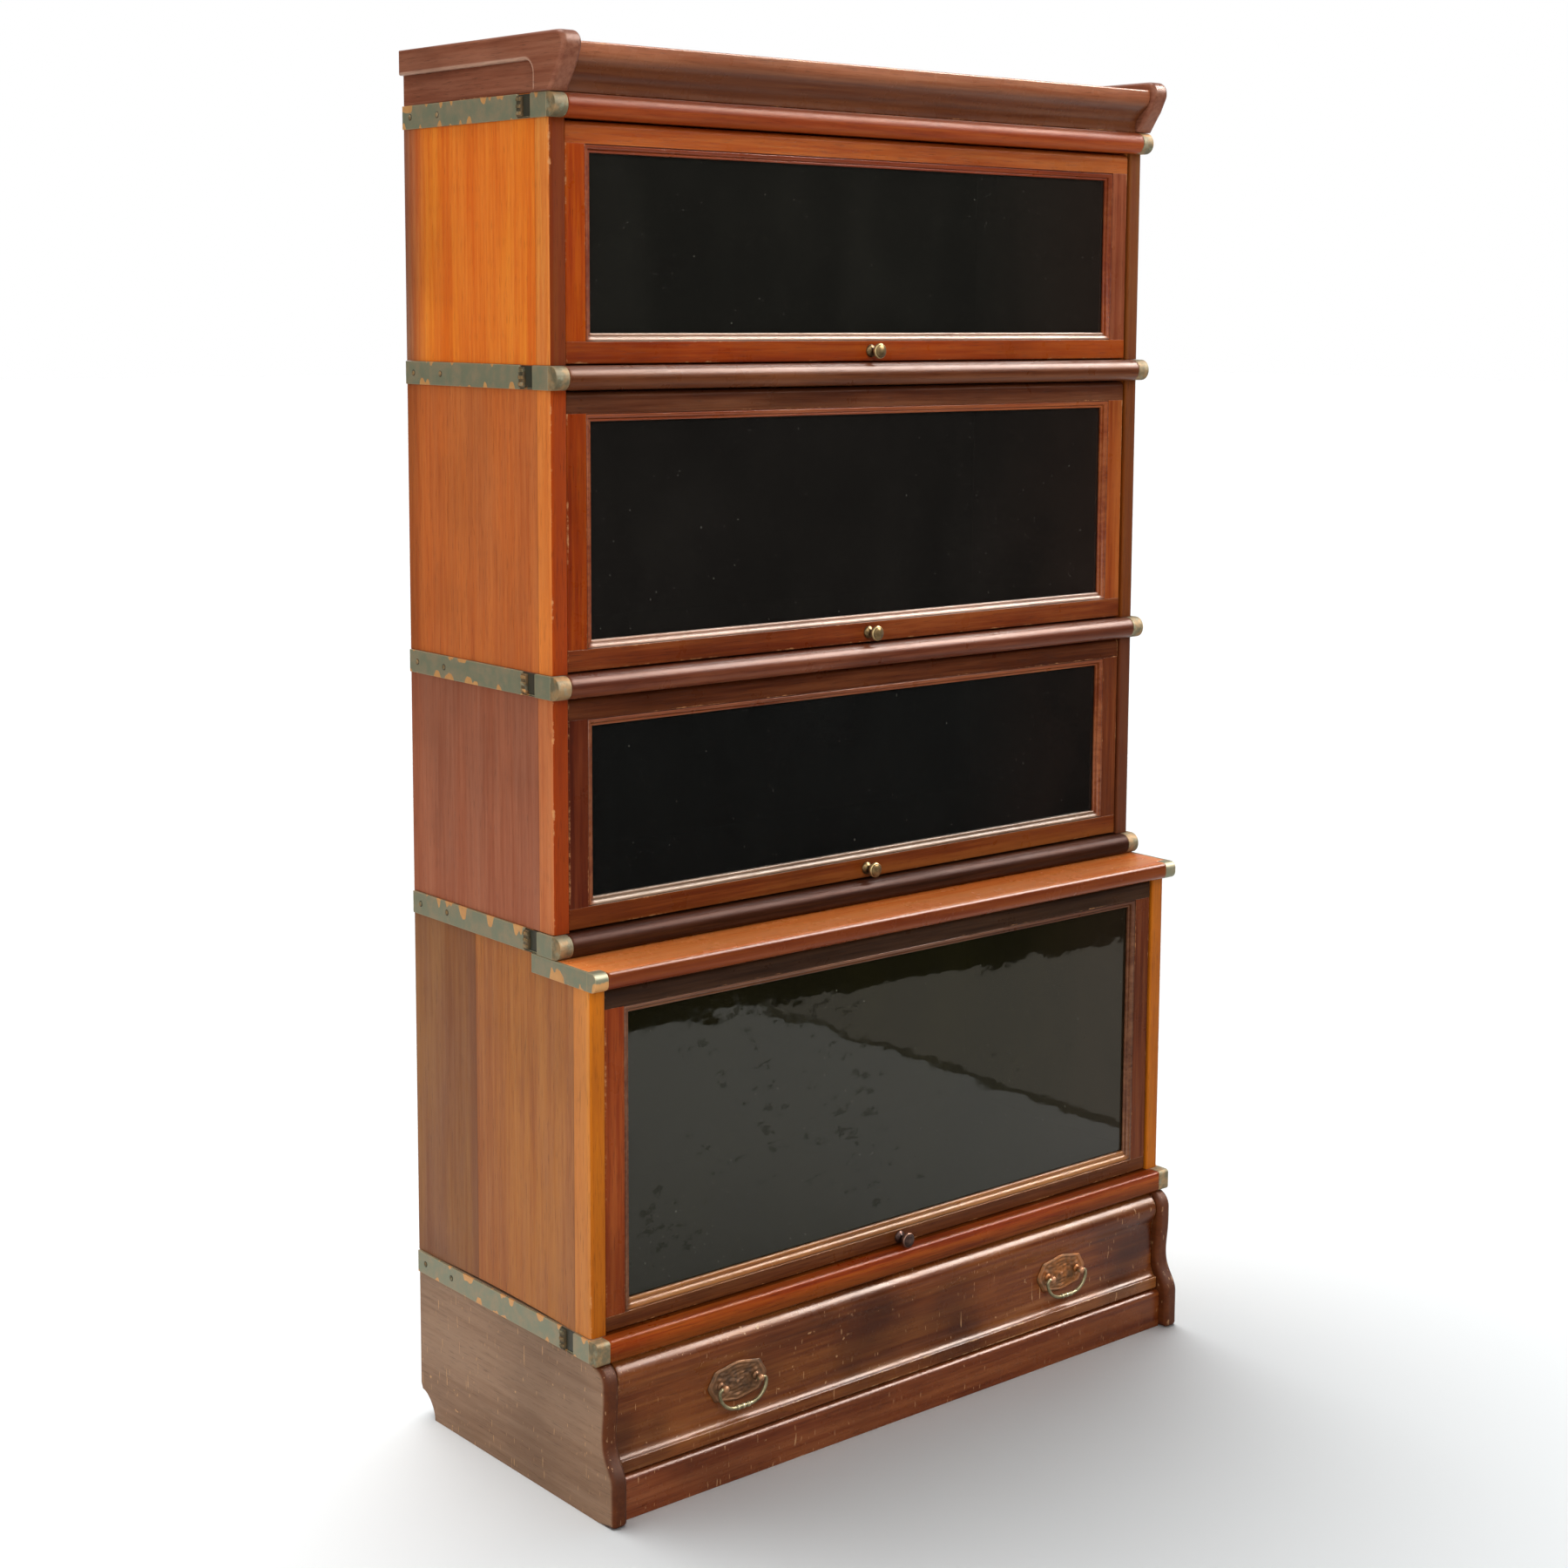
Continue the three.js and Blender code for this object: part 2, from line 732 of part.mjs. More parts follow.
// One book section, with its door hung on the pivot rod
function bookSection(section) {
  const place = layoutOf(section);
  const name = (part) => `section_${section.number}_${part}`;
  const group = new THREE.Group();
  for (const [word, side] of sides) {
    group.add(piece(name(`end_${word}`), sectionEnd(section, side), finish("orangeMahogany")));
    const made = section.stepped
      ? steppedBand(section, side)
      : straightBand(section.depth, place.bandLow, section.height, nosingRound, side);
    group.add(piece(name(`band_${word}`), made, finish("patina")));
  }
  const tongueHalf = innerHalf - seatGap;
  const front = section.stepped
    ? steppedNosing(section)
    : nosing(section.depth, place.bandLow, section.height, nosingRound, tongueHalf);
  group.add(piece(name("nosing"), front, finish("redMahogany")));
  group.add(piece(name("shelf"), shelf(section), finish("plainWood")));
  group.add(piece(name("back"), backPanel(seatGap, section.height), finish("plainWood")));

  const door = new THREE.Group();
  door.position.set(0, -place.axisForward, place.axisHeight);
  const rodReach = innerHalf + grooveDepth - seatGap;
  const knobMesh = piece(name("knob"), knob(), finish("brass"));
  knobMesh.position.set(0, -(doorThickness / 2 + seatGap), place.knobHeight - place.axisHeight);
  door.add(
    piece(name("door_frame"), doorFrame(section), finish("redMahogany")),
    piece(name("glass"), pane(section), paneFinish()),
    piece(name("pivot_rod"), rodAlongX(rodRadius, rodSides, [-rodReach, rodReach]), finish("steel")),
    knobMesh,
  );
  group.add(door);
  return group;
}

// The shaped front edge of the base's ends, from the floor up to the shoulder
function baseFront() {
  return [
    new THREE.Vector2(-footFront, footHeight),
    ...curve(
      [-footFront, footHeight],
      [-footFront, footHeight + (waistHeight - footHeight) * kneeShares[0]],
      [-waistFront, footHeight + (waistHeight - footHeight) * kneeShares[1]],
      [-waistFront, waistHeight],
    ),
    ...curve(
      [-waistFront, waistHeight],
      [-waistFront, (waistHeight * 2 + bellyHeight) / 3],
      [-bellyFront, (waistHeight + bellyHeight * 2) / 3],
      [-bellyFront, bellyHeight],
    ),
  ];
}

// An end of the base: a shaped board with a bullnosed front edge, coved away at the rear foot, with the
// drawer's runner glued inside.
function baseEnd(side) {
  const beyond = baseEdgeRound + overrun;
  const outline = [
    new THREE.Vector2(beyond, -beyond),
    new THREE.Vector2(-footFront, -beyond),
    ...baseFront(),
    ...rounded([
      [-bellyFront, bellyHeight],
      [-bellyFront, shoulderHeight, shoulderRound],
      [-lowerDepth, shoulderHeight],
    ]),
    new THREE.Vector2(-lowerDepth, baseHeight + beyond),
    new THREE.Vector2(beyond, baseHeight + beyond),
  ];
  const across = [side * innerHalf, side * caseHalf];
  const shaped = carried(outline, alongX, across, baseEdgeRound);
  const trimmed = shaped.intersect(block(across, [0, -footFront], [0, baseHeight]));
  const wide = [side * (innerHalf - overrun), side * (caseHalf + overrun)];
  const coveTop = rearCove + rearCoveEase;
  const cove = [
    new THREE.Vector2(overrun, -overrun),
    new THREE.Vector2(-rearCove, -overrun),
    new THREE.Vector2(-rearCove, 0),
    ...curve(
      [-rearCove, 0],
      [-rearCove, rearCove / 2],
      [-rearCove / 2, rearCove],
      [-rearCoveEase / 2, rearCove],
    ),
    new THREE.Vector2(0, coveTop),
    new THREE.Vector2(overrun, coveTop),
  ];
  const rebate = block(
    [side * (innerHalf - overrun), side * (innerHalf + backRebate)],
    [overrun, -(backThickness + seatGap)],
    [-overrun, baseHeight + overrun],
  );
  const runner = block(
    [side * (innerHalf - runnerWidth), side * (innerHalf + endThickness / 2)],
    [-(backThickness + seatGap), -(frontRear - runningGap)],
    [runnerTop - runnerHeight, runnerTop],
  );
  return trimmed.subtract(carried(cove, alongX, wide)).subtract(rebate).add(runner);
}

// The toe rail stands on the floor between the ends.
function toeRail() {
  const half = innerHalf - seatGap;
  const front = -(footFront - toeSetback);
  const outline = rounded([
    [front + toeThickness, 0],
    [front + toeThickness, toeHeight],
    [front, toeHeight, toeRound],
    [front, 0],
  ]);
  return carried(outline, alongX, [-half, half]);
}

// Heights and distances of the drawer
const drawerLow = toeHeight + frontRaise;
const drawerHigh = baseHeight - nosingHeight - runningGap;
const frontFace = waistFront - frontSetback;
const frontRear = frontFace - frontThickness;
const boxLow = runnerTop + seatGap;
const filletTop = drawerLow + frontFilletHeight;
const handleHeight = filletTop + (drawerHigh - filletTop) * handleRiseShare;

// The drawer's front: a fillet and cove at the foot, a flat field and a round shoulder.
function drawerFront() {
  const filletFront = -(footFront - filletSetback);
  const flatLow = handleHeight - plateHeight / 2 - plateMargin;
  const flatHigh = handleHeight + plateHeight / 2 + plateMargin;
  const bellyFace = frontFace + frontBelly;
  const roundLow = drawerHigh - frontRound;
  const outline = [
    new THREE.Vector2(-frontRear, drawerLow),
    new THREE.Vector2(filletFront, drawerLow),
    new THREE.Vector2(filletFront, filletTop),
    ...curve(
      [filletFront, filletTop],
      [(filletFront - frontFace * 2) / 3, filletTop],
      [-frontFace, (filletTop + flatLow) / 2],
      [-frontFace, flatLow],
    ),
    new THREE.Vector2(-frontFace, flatHigh),
    ...curve(
      [-frontFace, flatHigh],
      [-frontFace, (flatHigh + roundLow) / 2],
      [-bellyFace, (flatHigh + roundLow) / 2],
      [-bellyFace, roundLow],
    ),
    ...rounded([
      [-bellyFace, roundLow],
      [-bellyFace, drawerHigh, frontRound],
      [-frontRear, drawerHigh],
    ]),
  ];
  return carried(outline, alongX, [-doorHalf, doorHalf]);
}

// The drawer's box: two sides and a back round a bottom that is let in above their lower edges.
function drawerBox() {
  const half = innerHalf - runningGap;
  const front = -(frontRear - seatGap);
  const rear = -(backThickness + drawerRearGap);
  const high = drawerHigh - drawerSideDrop;
  const shell = block([-half, half], [front, rear], [boxLow, high]);
  const room = block(
    [-(half - drawerWall), half - drawerWall],
    [front - overrun, rear - drawerWall],
    [boxLow + drawerBottomLift + drawerBottom, high + overrun],
  );
  const under = block(
    [-(half - drawerWall), half - drawerWall],
    [front - overrun, rear - drawerWall],
    [boxLow - overrun, boxLow + drawerBottomLift],
  );
  return shell.subtract(room).subtract(under);
}

// Outline of a handle plate: a long shield whose edge runs in shallow scallops
function plateOutline(share) {
  const squared = (value) => Math.sign(value) * Math.abs(value) ** plateCornerShare;
  return Array.from({ length: plateSteps }, (_, step) => {
    const turn = (Math.PI * 2 * step) / plateSteps;
    const swell = 1 - plateScallopShare * Math.abs(Math.sin((plateScallops * turn) / 2));
    const across = squared(Math.cos(turn));
    const up = squared(Math.sin(turn));
    return new THREE.Vector2(
      (across * swell * share * plateWidth) / 2,
      (up * swell * share * plateHeight) / 2,
    );
  });
}

// A handle's back plate with its raised middle and two eyed posts; the bail's ends run in the eyes.
function handlePlate() {
  const stamped = (share, high) =>
    carried(plateOutline(share), towardsFront, [seatGap, seatGap + high], plateEdge, false, 1);
  const plate = stamped(1, plateThickness);
  const boss = stamped(plateBulgeShare, plateThickness + plateBulge);
  const stem = seatGap + plateThickness + postReach;
  const posts = [-1, 1].map((side) => {
    const geometry = new THREE.CylinderGeometry(postRadius, postRadius / 2, stem, postSides);
    geometry.translate((side * postSpread) / 2, -(lap + stem / 2), 0);
    const eye = new THREE.SphereGeometry(postRadius, postSides, postSides / 2);
    eye.translate((side * postSpread) / 2, -bailForward, 0);
    return solidOf(geometry).add(solidOf(eye));
  });
  const bore = rodAlongX(bailRadius + bailFit, postSides, [-plateWidth / 2, plateWidth / 2]);
  const drilled = posts.map((post) => post.subtract(bore.translate([0, -bailForward, 0])));
  return plate.add(boss).add(drilled[0]).add(drilled[1]);
}

// A bail: a bent rod whose turned-in ends pivot in the posts, with a thicker collared grip.
function bail() {
  const place = (side, x, z) => new THREE.Vector3(side * x, 0, z);
  const endX = postSpread / 2 - postRadius - seatGap;
  const eyeX = postSpread / 2 + postRadius + seatGap;
  const gripX = bailGripLength / 2;
  const end = (side) => [place(side, endX, 0), place(side, eyeX, 0)];
  const arm = (side) => [
    place(side, eyeX, 0),
    place(side, eyeX + bailFlare, 0),
    place(side, eyeX + bailFlare * bailTuckShare, -bailDrop),
    place(side, gripX, -bailDrop),
  ];
  const path = new THREE.CurvePath();
  path.add(new THREE.LineCurve3(...end(-1)));
  path.add(new THREE.CubicBezierCurve3(...arm(-1)));
  path.add(new THREE.LineCurve3(place(-1, gripX, -bailDrop), place(1, gripX, -bailDrop)));
  path.add(new THREE.CubicBezierCurve3(...arm(1).reverse()));
  path.add(new THREE.LineCurve3(...end(1).reverse()));
  const section = Array.from({ length: bailSides }, (_, side) => {
    const turn = (Math.PI * 2 * side) / bailSides;
    return new THREE.Vector2(bailRadius * Math.cos(turn), bailRadius * Math.sin(turn));
  });
  const wire = new THREE.ExtrudeGeometry(new THREE.Shape(section), {
    steps: bailSteps,
    extrudePath: path,
    bevelEnabled: false,
  });
  const grip = new THREE.LatheGeometry(
    gripOutlineShares.map(
      ([radiusShare, lengthShare]) =>
        new THREE.Vector2(radiusShare * bailGripRadius, (lengthShare - 1 / 2) * bailGripLength),
    ),
    postSides,
  );
  grip.rotateZ(Math.PI / 2);
  grip.translate(0, 0, -bailDrop);
  return solidOf(orientedOut(wire)).add(solidOf(orientedOut(grip)));
}

// One handle: plate, posts and bail, on the drawer's flat field
function handle(word, side) {
  const group = new THREE.Group();
  group.position.set(side * (doorHalf - handleInset), -frontFace, handleHeight);
  const bailMesh = piece(`handle_bail_${word}`, bail(), finish("brass"));
  bailMesh.position.set(0, -bailForward, 0);
  group.add(piece(`handle_plate_${word}`, handlePlate(), finish("copper")), bailMesh);
  return group;
}

// The drawer base
function drawerBase() {
  const group = new THREE.Group();
  const low = baseHeight - nosingHeight;
  for (const [word, side] of sides) {
    group.add(piece(`base_end_${word}`, baseEnd(side), finish("baseBrown")));
    const made = straightBand(lowerDepth, low, baseHeight, baseNosingRound, side);
    group.add(piece(`base_band_${word}`, made, finish("patina")));
    group.add(handle(word, side));
  }
  const front = nosing(lowerDepth, low, baseHeight, baseNosingRound, innerHalf - seatGap);
  group.add(piece("base_nosing", front, finish("redMahogany")));
  group.add(piece("base_toe_rail", toeRail(), finish("darkMahogany")));
  const panel = backPanel(rearCove + rearCoveEase, baseHeight);
  group.add(piece("base_back", panel, finish("plainWood")));
  group.add(piece("drawer_front", drawerFront(), finish("darkMahogany")));
  group.add(piece("drawer_box", drawerBox(), finish("plainWood")));
  return group;
}

// An end of the cornice: an eared board whose lower side is sunk behind the proud upper band.
function corniceEnd(side) {
  const outer = side * (caseHalf + corniceProud);
  const inner = side * (caseHalf + corniceProud - corniceEndThickness);
  const beyond = corniceEdgeRound + overrun;
  const outline = rounded([
    [beyond, -beyond],
    [-earFoot, -beyond],
    [-earFoot, 0],
    [-earBrow, earBrowHeight, earRound],
    [-earNose, earNoseHeight, earRound],
    [-earTop, corniceHeight, earRound],
    [beyond, corniceHeight],
  ]);
  const shaped = carried(outline, alongX, [inner, outer], corniceEdgeRound);
  const trimmed = shaped.intersect(
    block([inner, outer], [0, -(earNose + overrun)], [seatGap, corniceHeight]),
  );
  const sunk = rounded([
    [overrun, -overrun],
    [overrun, sidePanelHeight],
    [-sidePanelFront, sidePanelHeight, sidePanelRound],
    [-sidePanelFront, -overrun],
  ]);
  const face = carried(sunk, alongX, [side * caseHalf, outer + side * overrun]);
  const mouth = carried(sunk, alongX, [outer - side * sidePanelLip * 2, outer], sidePanelLip, true);
  const outside = [outer - side * sidePanelLip, outer + side * overrun];
  const lip = mouth.intersect(block(outside, [overrun, -earNose], [-overrun, corniceHeight]));
  return trimmed.subtract(face).subtract(lip);
}

// The cornice's front moulding, top board and back rail, glued up as one frame
function corniceFrame() {
  const half = caseHalf + corniceProud - corniceEndThickness - seatGap;
  const high = corniceHeight - mouldingDrop;
  const noseLow = high - mouldingTopFillet;
  const outline = [
    new THREE.Vector2(-(mouldingFoot - mouldingThickness), seatGap),
    new THREE.Vector2(-mouldingFoot, seatGap),
    new THREE.Vector2(-mouldingFoot, mouldingFillet),
    ...curve(
      [-mouldingFoot, mouldingFillet],
      [-mouldingFoot, (mouldingFillet + noseLow) / 2],
      [-mouldingNose, (mouldingFillet + noseLow) / 2],
      [-mouldingNose, noseLow],
    ),
    new THREE.Vector2(-mouldingNose, high - innerArris),
    new THREE.Vector2(-(mouldingNose - innerArris), high),
    new THREE.Vector2(-(mouldingFoot - mouldingThickness), high),
  ];
  const moulding = carried(outline, alongX, [-half, half]);
  const board = block([-half, half], [0, -mouldingFoot], [high - corniceBoard, high]);
  const rail = block([-half, half], [0, -corniceRail], [seatGap, high]);
  return moulding.add(board).add(rail);
}

// The cornice
function cornice() {
  const group = new THREE.Group();
  for (const [word, side] of sides) {
    group.add(piece(`cornice_end_${word}`, corniceEnd(side), finish("darkMahogany")));
  }
  group.add(piece("cornice_frame", corniceFrame(), finish("darkMahogany")));
  return group;
}

// The whole bookcase, each unit standing on the one below
const bookcase = new THREE.Group();
bookcase.name = "bookcase";
bookcase.position.y = footFront / 2;
bookcase.add(drawerBase());
let floor = baseHeight;
for (const section of sections) {
  const unit = bookSection(section);
  unit.position.z = floor;
  bookcase.add(unit);
  floor += section.height;
}
const crown = cornice();
crown.position.z = floor;
bookcase.add(crown);

export default bookcase;
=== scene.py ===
# %% [markdown]
# # A sectional bookcase with glass doors
# The bookcase is a stack of loose units: a base with a drawer, four book sections whose glazed
# doors swing up and slide back over the books, and a cornice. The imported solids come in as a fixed
# frame. This lesson gives each of them its wood, metal or glass, and puts finer surfaces in the
# place of the moulded and turned pieces. Sizes are written in millimetres and turned into metres
# once, where a mesh is made.

# %% Load the frame and measure it
import bpy
import numpy as np
from mathutils import Matrix


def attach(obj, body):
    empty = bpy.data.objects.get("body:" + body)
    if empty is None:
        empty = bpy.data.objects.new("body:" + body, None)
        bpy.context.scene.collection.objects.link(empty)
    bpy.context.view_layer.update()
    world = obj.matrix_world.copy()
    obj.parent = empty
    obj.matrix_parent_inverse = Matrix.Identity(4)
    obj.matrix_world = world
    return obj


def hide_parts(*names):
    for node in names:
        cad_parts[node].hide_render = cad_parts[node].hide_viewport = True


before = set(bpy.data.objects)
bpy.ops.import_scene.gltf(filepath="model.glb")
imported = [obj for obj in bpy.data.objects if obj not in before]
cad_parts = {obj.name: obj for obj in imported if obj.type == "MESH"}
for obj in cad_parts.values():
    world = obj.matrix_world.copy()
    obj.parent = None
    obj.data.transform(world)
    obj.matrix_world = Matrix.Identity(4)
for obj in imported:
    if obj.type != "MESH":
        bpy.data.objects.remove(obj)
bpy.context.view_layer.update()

scene = bpy.context.scene
millimetre = 0.001
back_plane = 187.0  # how far the back of the case stands behind the frame's centre

# %% [markdown]
# ## The camera
# The photograph looks down a little on the left front corner. Its camera was worked out from points
# whose places on the bookcase are known: an eye point, three angles, a focal length in pixels and
# the picture's middle. A camera could also be aimed by eye, but then no edge falls where it should.
# The two shifts carry the picture's middle, because the photograph was cut from a larger one.

# %% Set up the camera
eye = np.array([-1.8807, -2.2302, 1.2475])
yaw, pitch, roll = 0.7013, -0.1246, 0.0062
picture_side, focal_pixels = 1800.0, 2938.28
middle_x, middle_y = 943.44, 725.26

ahead = np.array([np.sin(yaw) * np.cos(pitch), np.cos(yaw) * np.cos(pitch), np.sin(pitch)])
level = np.array([np.cos(yaw), -np.sin(yaw), 0.0])
upright = np.cross(level, ahead)
right = np.cos(roll) * level + np.sin(roll) * upright
up = -np.sin(roll) * level + np.cos(roll) * upright


def place_by_axes(thing, *columns):
    """Turns and moves a camera or lamp: the columns are its three axes and its place."""
    thing.matrix_world = Matrix(np.vstack([np.column_stack(columns), [0, 0, 0, 1]]).tolist())


camera_data = bpy.data.cameras.new("camera")
camera = bpy.data.objects.new("camera", camera_data)
scene.collection.objects.link(camera)
place_by_axes(camera, right, up, -ahead, eye)
camera_data.sensor_width = 36
camera_data.lens = 36 * focal_pixels / picture_side
camera_data.shift_x = (picture_side / 2 - middle_x) / picture_side
camera_data.shift_y = (middle_y - picture_side / 2) / picture_side
scene.camera = camera
print("lens:", round(camera_data.lens, 2), "shift:", round(camera_data.shift_x, 4), round(camera_data.shift_y, 4))

# %% [markdown]
# ## Shader helpers
# A material is a chain of nodes that works values out over a surface. A chain reads best as a
# formula, so `Field` stands for one such value, and adding or multiplying fields adds Math nodes.

# %% Values that differ over a surface
class Field:
    """A value that differs over a surface: one output of a node."""

    def __init__(self, socket, tree):
        self.socket, self.tree = socket, tree

    def maths(self, operation, *others, clamp=False):
        return node(self.tree, "Math", dict(enumerate((self, *others))), operation=operation, use_clamp=clamp)

    def __add__(self, other):
        return self.maths("ADD", other)

    def __sub__(self, other):
        return self.maths("SUBTRACT", other)

    def __rsub__(self, other):
        return node(self.tree, "Math", {0: other, 1: self}, operation="SUBTRACT")

    def __mul__(self, other):
        return self.maths("MULTIPLY", other)


def fill(sockets, values):
    """Writes a number or a colour into each socket that is named, or links a field to it."""
    for name, value in values.items():
        if isinstance(value, Field):
            value.tree.links.new(value.socket, sockets[name])
        else:
            sockets[name].default_value = value


def node(tree, kind, inputs=None, output=0, **settings):
    """Adds one node, sets its options, fills its inputs by name or number, and gives one output."""
    made = tree.nodes.new("ShaderNode" + kind)
    for key, value in settings.items():
        setattr(made, key, value)
    fill(made.inputs, inputs or {})
    return Field(made.outputs[output], tree)


print("fields ready")

# %% [markdown]
# These steps come back in nearly every material: mixing two colours, carrying a value from one range
# to another, noise, and a space that is moved, turned or stretched.

# %% Helpers for the steps that repeat
def blend(share, first, second, mode="MIX"):
    """Mixes two colours: share 0 gives the first, share 1 the second."""
    tree = next(value.tree for value in (share, first, second) if isinstance(value, Field))
    inputs = {"Factor": share, "A": first, "B": second}
    return node(tree, "Mix", inputs, "Result", data_type="RGBA", blend_type=mode)


def tinted(share, colour, factors):
    """Multiplies a colour by three factors, as far as share says."""
    return blend(share, colour, blend(1.0, colour, (*factors, 1), "MULTIPLY"))


def ease(value, low, high, to_low=0.0, to_high=1.0):
    """Carries a value from the range low..high to a new range, along a smooth S-shaped curve."""
    inputs = {"Value": value, "From Min": low, "From Max": high, "To Min": to_low, "To Max": to_high}
    return node(value.tree, "MapRange", inputs, interpolation_type="SMOOTHSTEP")


def noise(place, scale, detail=2.0, rough=0.5, warp=0.0):
    """Cloudy noise between 0 and 1, with about `scale` lumps to the metre."""
    inputs = {"Vector": place, "Scale": scale, "Detail": detail, "Roughness": rough, "Distortion": warp}
    return node(place.tree, "TexNoise", inputs, "Fac")


def mapped(place, shift=(0, 0, 0), scale=(1, 1, 1), turn=(0, 0, 0)):
    """A space moved, stretched and turned: a scale below 1 draws a pattern out along that axis."""
    return node(place.tree, "Mapping", {"Vector": place, "Location": shift, "Rotation": turn, "Scale": scale})


def own_space(tree):
    """Places on the piece, in metres."""
    return node(tree, "TexCoord", output="Object")


def one_axis(place, axis):
    """The X, Y or Z of each place."""
    return node(place.tree, "SeparateXYZ", {"Vector": place}, axis)


def written_value(tree, name):
    """A number that the mesh carries at each point."""
    return node(tree, "Attribute", output="Fac", attribute_name=name)


def bumps(height, strength, depth):
    """The surface's slope under a relief of the given depth in metres."""
    return node(height.tree, "Bump", {"Height": height, "Strength": strength, "Distance": depth})


def from_srgb(tone, share=1.0):
    """A share of a colour as a screen shows it, 0..255, in the linear light that shaders reckon with:
    a value below 0.04045 is divided by 12.92, the rest is raised to the power 2.4."""
    value = np.array(tone, float) * share / 255
    linear = np.where(value <= 0.04045, value / 12.92, ((value + 0.055) / 1.055) ** 2.4)
    return (*[float(v) for v in linear], 1.0)


def new_material(name):
    """An empty material with its node tree and the inputs of its glossy shader."""
    material = bpy.data.materials.new(name)
    material.use_nodes = True
    tree = material.node_tree
    return material, tree, tree.nodes["Principled BSDF"].inputs


print("helpers ready")

# %% [markdown]
# ## The room
# The photograph was cut out onto white, with a soft grey shadow on the floor to the right. A pale
# floor takes that shadow. The white comes from the floor's and the sky's colour as the camera, a
# gloss and a glass see it, so no extra light falls on the wood.

# %% Make the floor and the sky
white, black = (1, 1, 1, 1), (0, 0, 0, 1)
dull = {"Roughness": 1, "Specular IOR Level": 0}


def ray(tree, kind):
    """1 for rays of one kind, such as Camera or Glossy, and 0 for the others."""
    return node(tree, "LightPath", output=f"Is {kind} Ray")


def flat_piece(name, corners, material, faces=None, for_gloss=True):
    """Flat faces through corners in metres: one face through all of them, or those given. With
    for_gloss only mirrored rays meet the piece."""
    mesh = bpy.data.meshes.new(name)
    mesh.from_pydata(corners, [], faces or [list(range(len(corners)))])
    mesh.materials.append(material)
    made = bpy.data.objects.new(name, mesh)
    scene.collection.objects.link(made)
    if for_gloss:
        made.visible_camera = made.visible_diffuse = made.visible_shadow = made.visible_transmission = False
    return made


world = bpy.data.worlds.new("studio")
scene.world = world
world.use_nodes = True
sky = world.node_tree
sky_light, mirrored_light = 0.21, 0.5
straight = ray(sky, "Camera").maths("MAXIMUM", ray(sky, "Transmission"))
mirrored_sky = ease(ray(sky, "Glossy"), 0, 1, sky_light, mirrored_light)
fill(sky.nodes["Background"].inputs, {"Color": white, "Strength": straight.maths("MAXIMUM", mirrored_sky)})

floor_half, floor_albedo, floor_glow = 40.0, 0.93, 0.02
floor_material, tree, shader = new_material("pale_floor")
seen = ray(tree, "Camera").maths("MAXIMUM", ray(tree, "Glossy")).maths("MAXIMUM", ray(tree, "Transmission"))
fill(shader, {**dull, "Base Color": (floor_albedo * 0.97, floor_albedo * 0.995, floor_albedo, 1),
              "Emission Color": white, "Emission Strength": ease(seen, 0, 1, 0.0, floor_glow)})
floor_corners = [(x * floor_half, y * floor_half, 0) for x, y in ((-1, -1), (1, -1), (1, 1), (-1, 1))]
floor = flat_piece("floor", floor_corners, floor_material, for_gloss=False)
print("floor and sky made")

# %% [markdown]
# Suns light every part of the floor alike, where area lamps would let it darken away from the
# bookcase. Two large dark cards stand where the panes and the sides mirror the room, and only glossy
# rays meet them. They keep the wood deep and the three upper panes black, while the lowest pane sees
# the floor in front of its card, as in the photograph. A soft box high on the right is there for
# glossy rays only too: it draws the bright line along every rounded edge that faces up. The lowest
# pane also mirrors a seam in the studio floor and a duller floor beyond it, which are two thin
# glowing pieces for glossy rays: a painted reflection.

# %% Hang the suns and stand the cards
def sun(name, towards, strength, spread):
    """A sun whose light comes from the direction `towards`; spread is its width in degrees."""
    data = bpy.data.lights.new(name, "SUN")
    data.energy, data.angle = strength, np.radians(spread)
    lamp = bpy.data.objects.new(name, data)
    scene.collection.objects.link(lamp)
    back = np.array(towards, float) / np.linalg.norm(towards)
    side = np.cross([0, 0, 1.0], back)
    side /= np.linalg.norm(side)
    place_by_axes(lamp, side, np.cross(back, side), back, back * 5)
    return lamp


sun("key_above", (0.04, 0.35, 0.93), 3.25, 50)
object_only = bpy.data.collections.new("object_only")
object_only.objects.link(floor)
for lamp in (sun("window_left", (-0.96, -0.1, 0.24), 1.2, 50), sun("fill_front", (-0.3, -0.75, 0.55), 1.65, 40)):
    lamp.light_linking.receiver_collection = object_only
    for member in object_only.collection_objects:
        member.light_linking.link_state = "EXCLUDE"

card_material, _, shader = new_material("dark_card")
fill(shader, {**dull, "Base Color": (0.012, 0.012, 0.012, 1)})
card_ends = {  # x, y of both ends, lower and upper edge, in metres
    "card_in_front": ((0.45, -1.613), (3.2, -1.329), 0, 1.58),
    "card_at_left": ((-2.9, 0.6), (-0.5, 2.6), 0.05, 2.6),
}
for name, (start, end, low, high) in card_ends.items():
    flat_piece(name, [(*start, low), (*end, low), (*end, high), (*start, high)], card_material)

soft_box_material, tree, shader = new_material("soft_box")
strip_glow = ease(one_axis(own_space(tree), "Z"), 4.3, 7.6, 4.0, 46.0)  # brighter towards its top
fill(shader, {"Base Color": black, "Emission Color": (1, 0.98, 0.95, 1), "Emission Strength": strip_glow})
bends = 9
across_x, tilt = np.meshgrid([0.45, 0.65, 0.85], np.radians(np.linspace(28, 84, bends)), indexing="ij")
strip_points = np.stack([across_x, -0.77 * np.cos(tilt), 0.77 * np.sin(tilt)], -1).reshape(-1, 3) * 12
strip_faces = [(k, k + 1, k + bends + 1, k + bends) for k in (*range(bends - 1), *range(bends, 2 * bends - 1))]
flat_piece("soft_box", [tuple(point) for point in strip_points], soft_box_material, strip_faces)
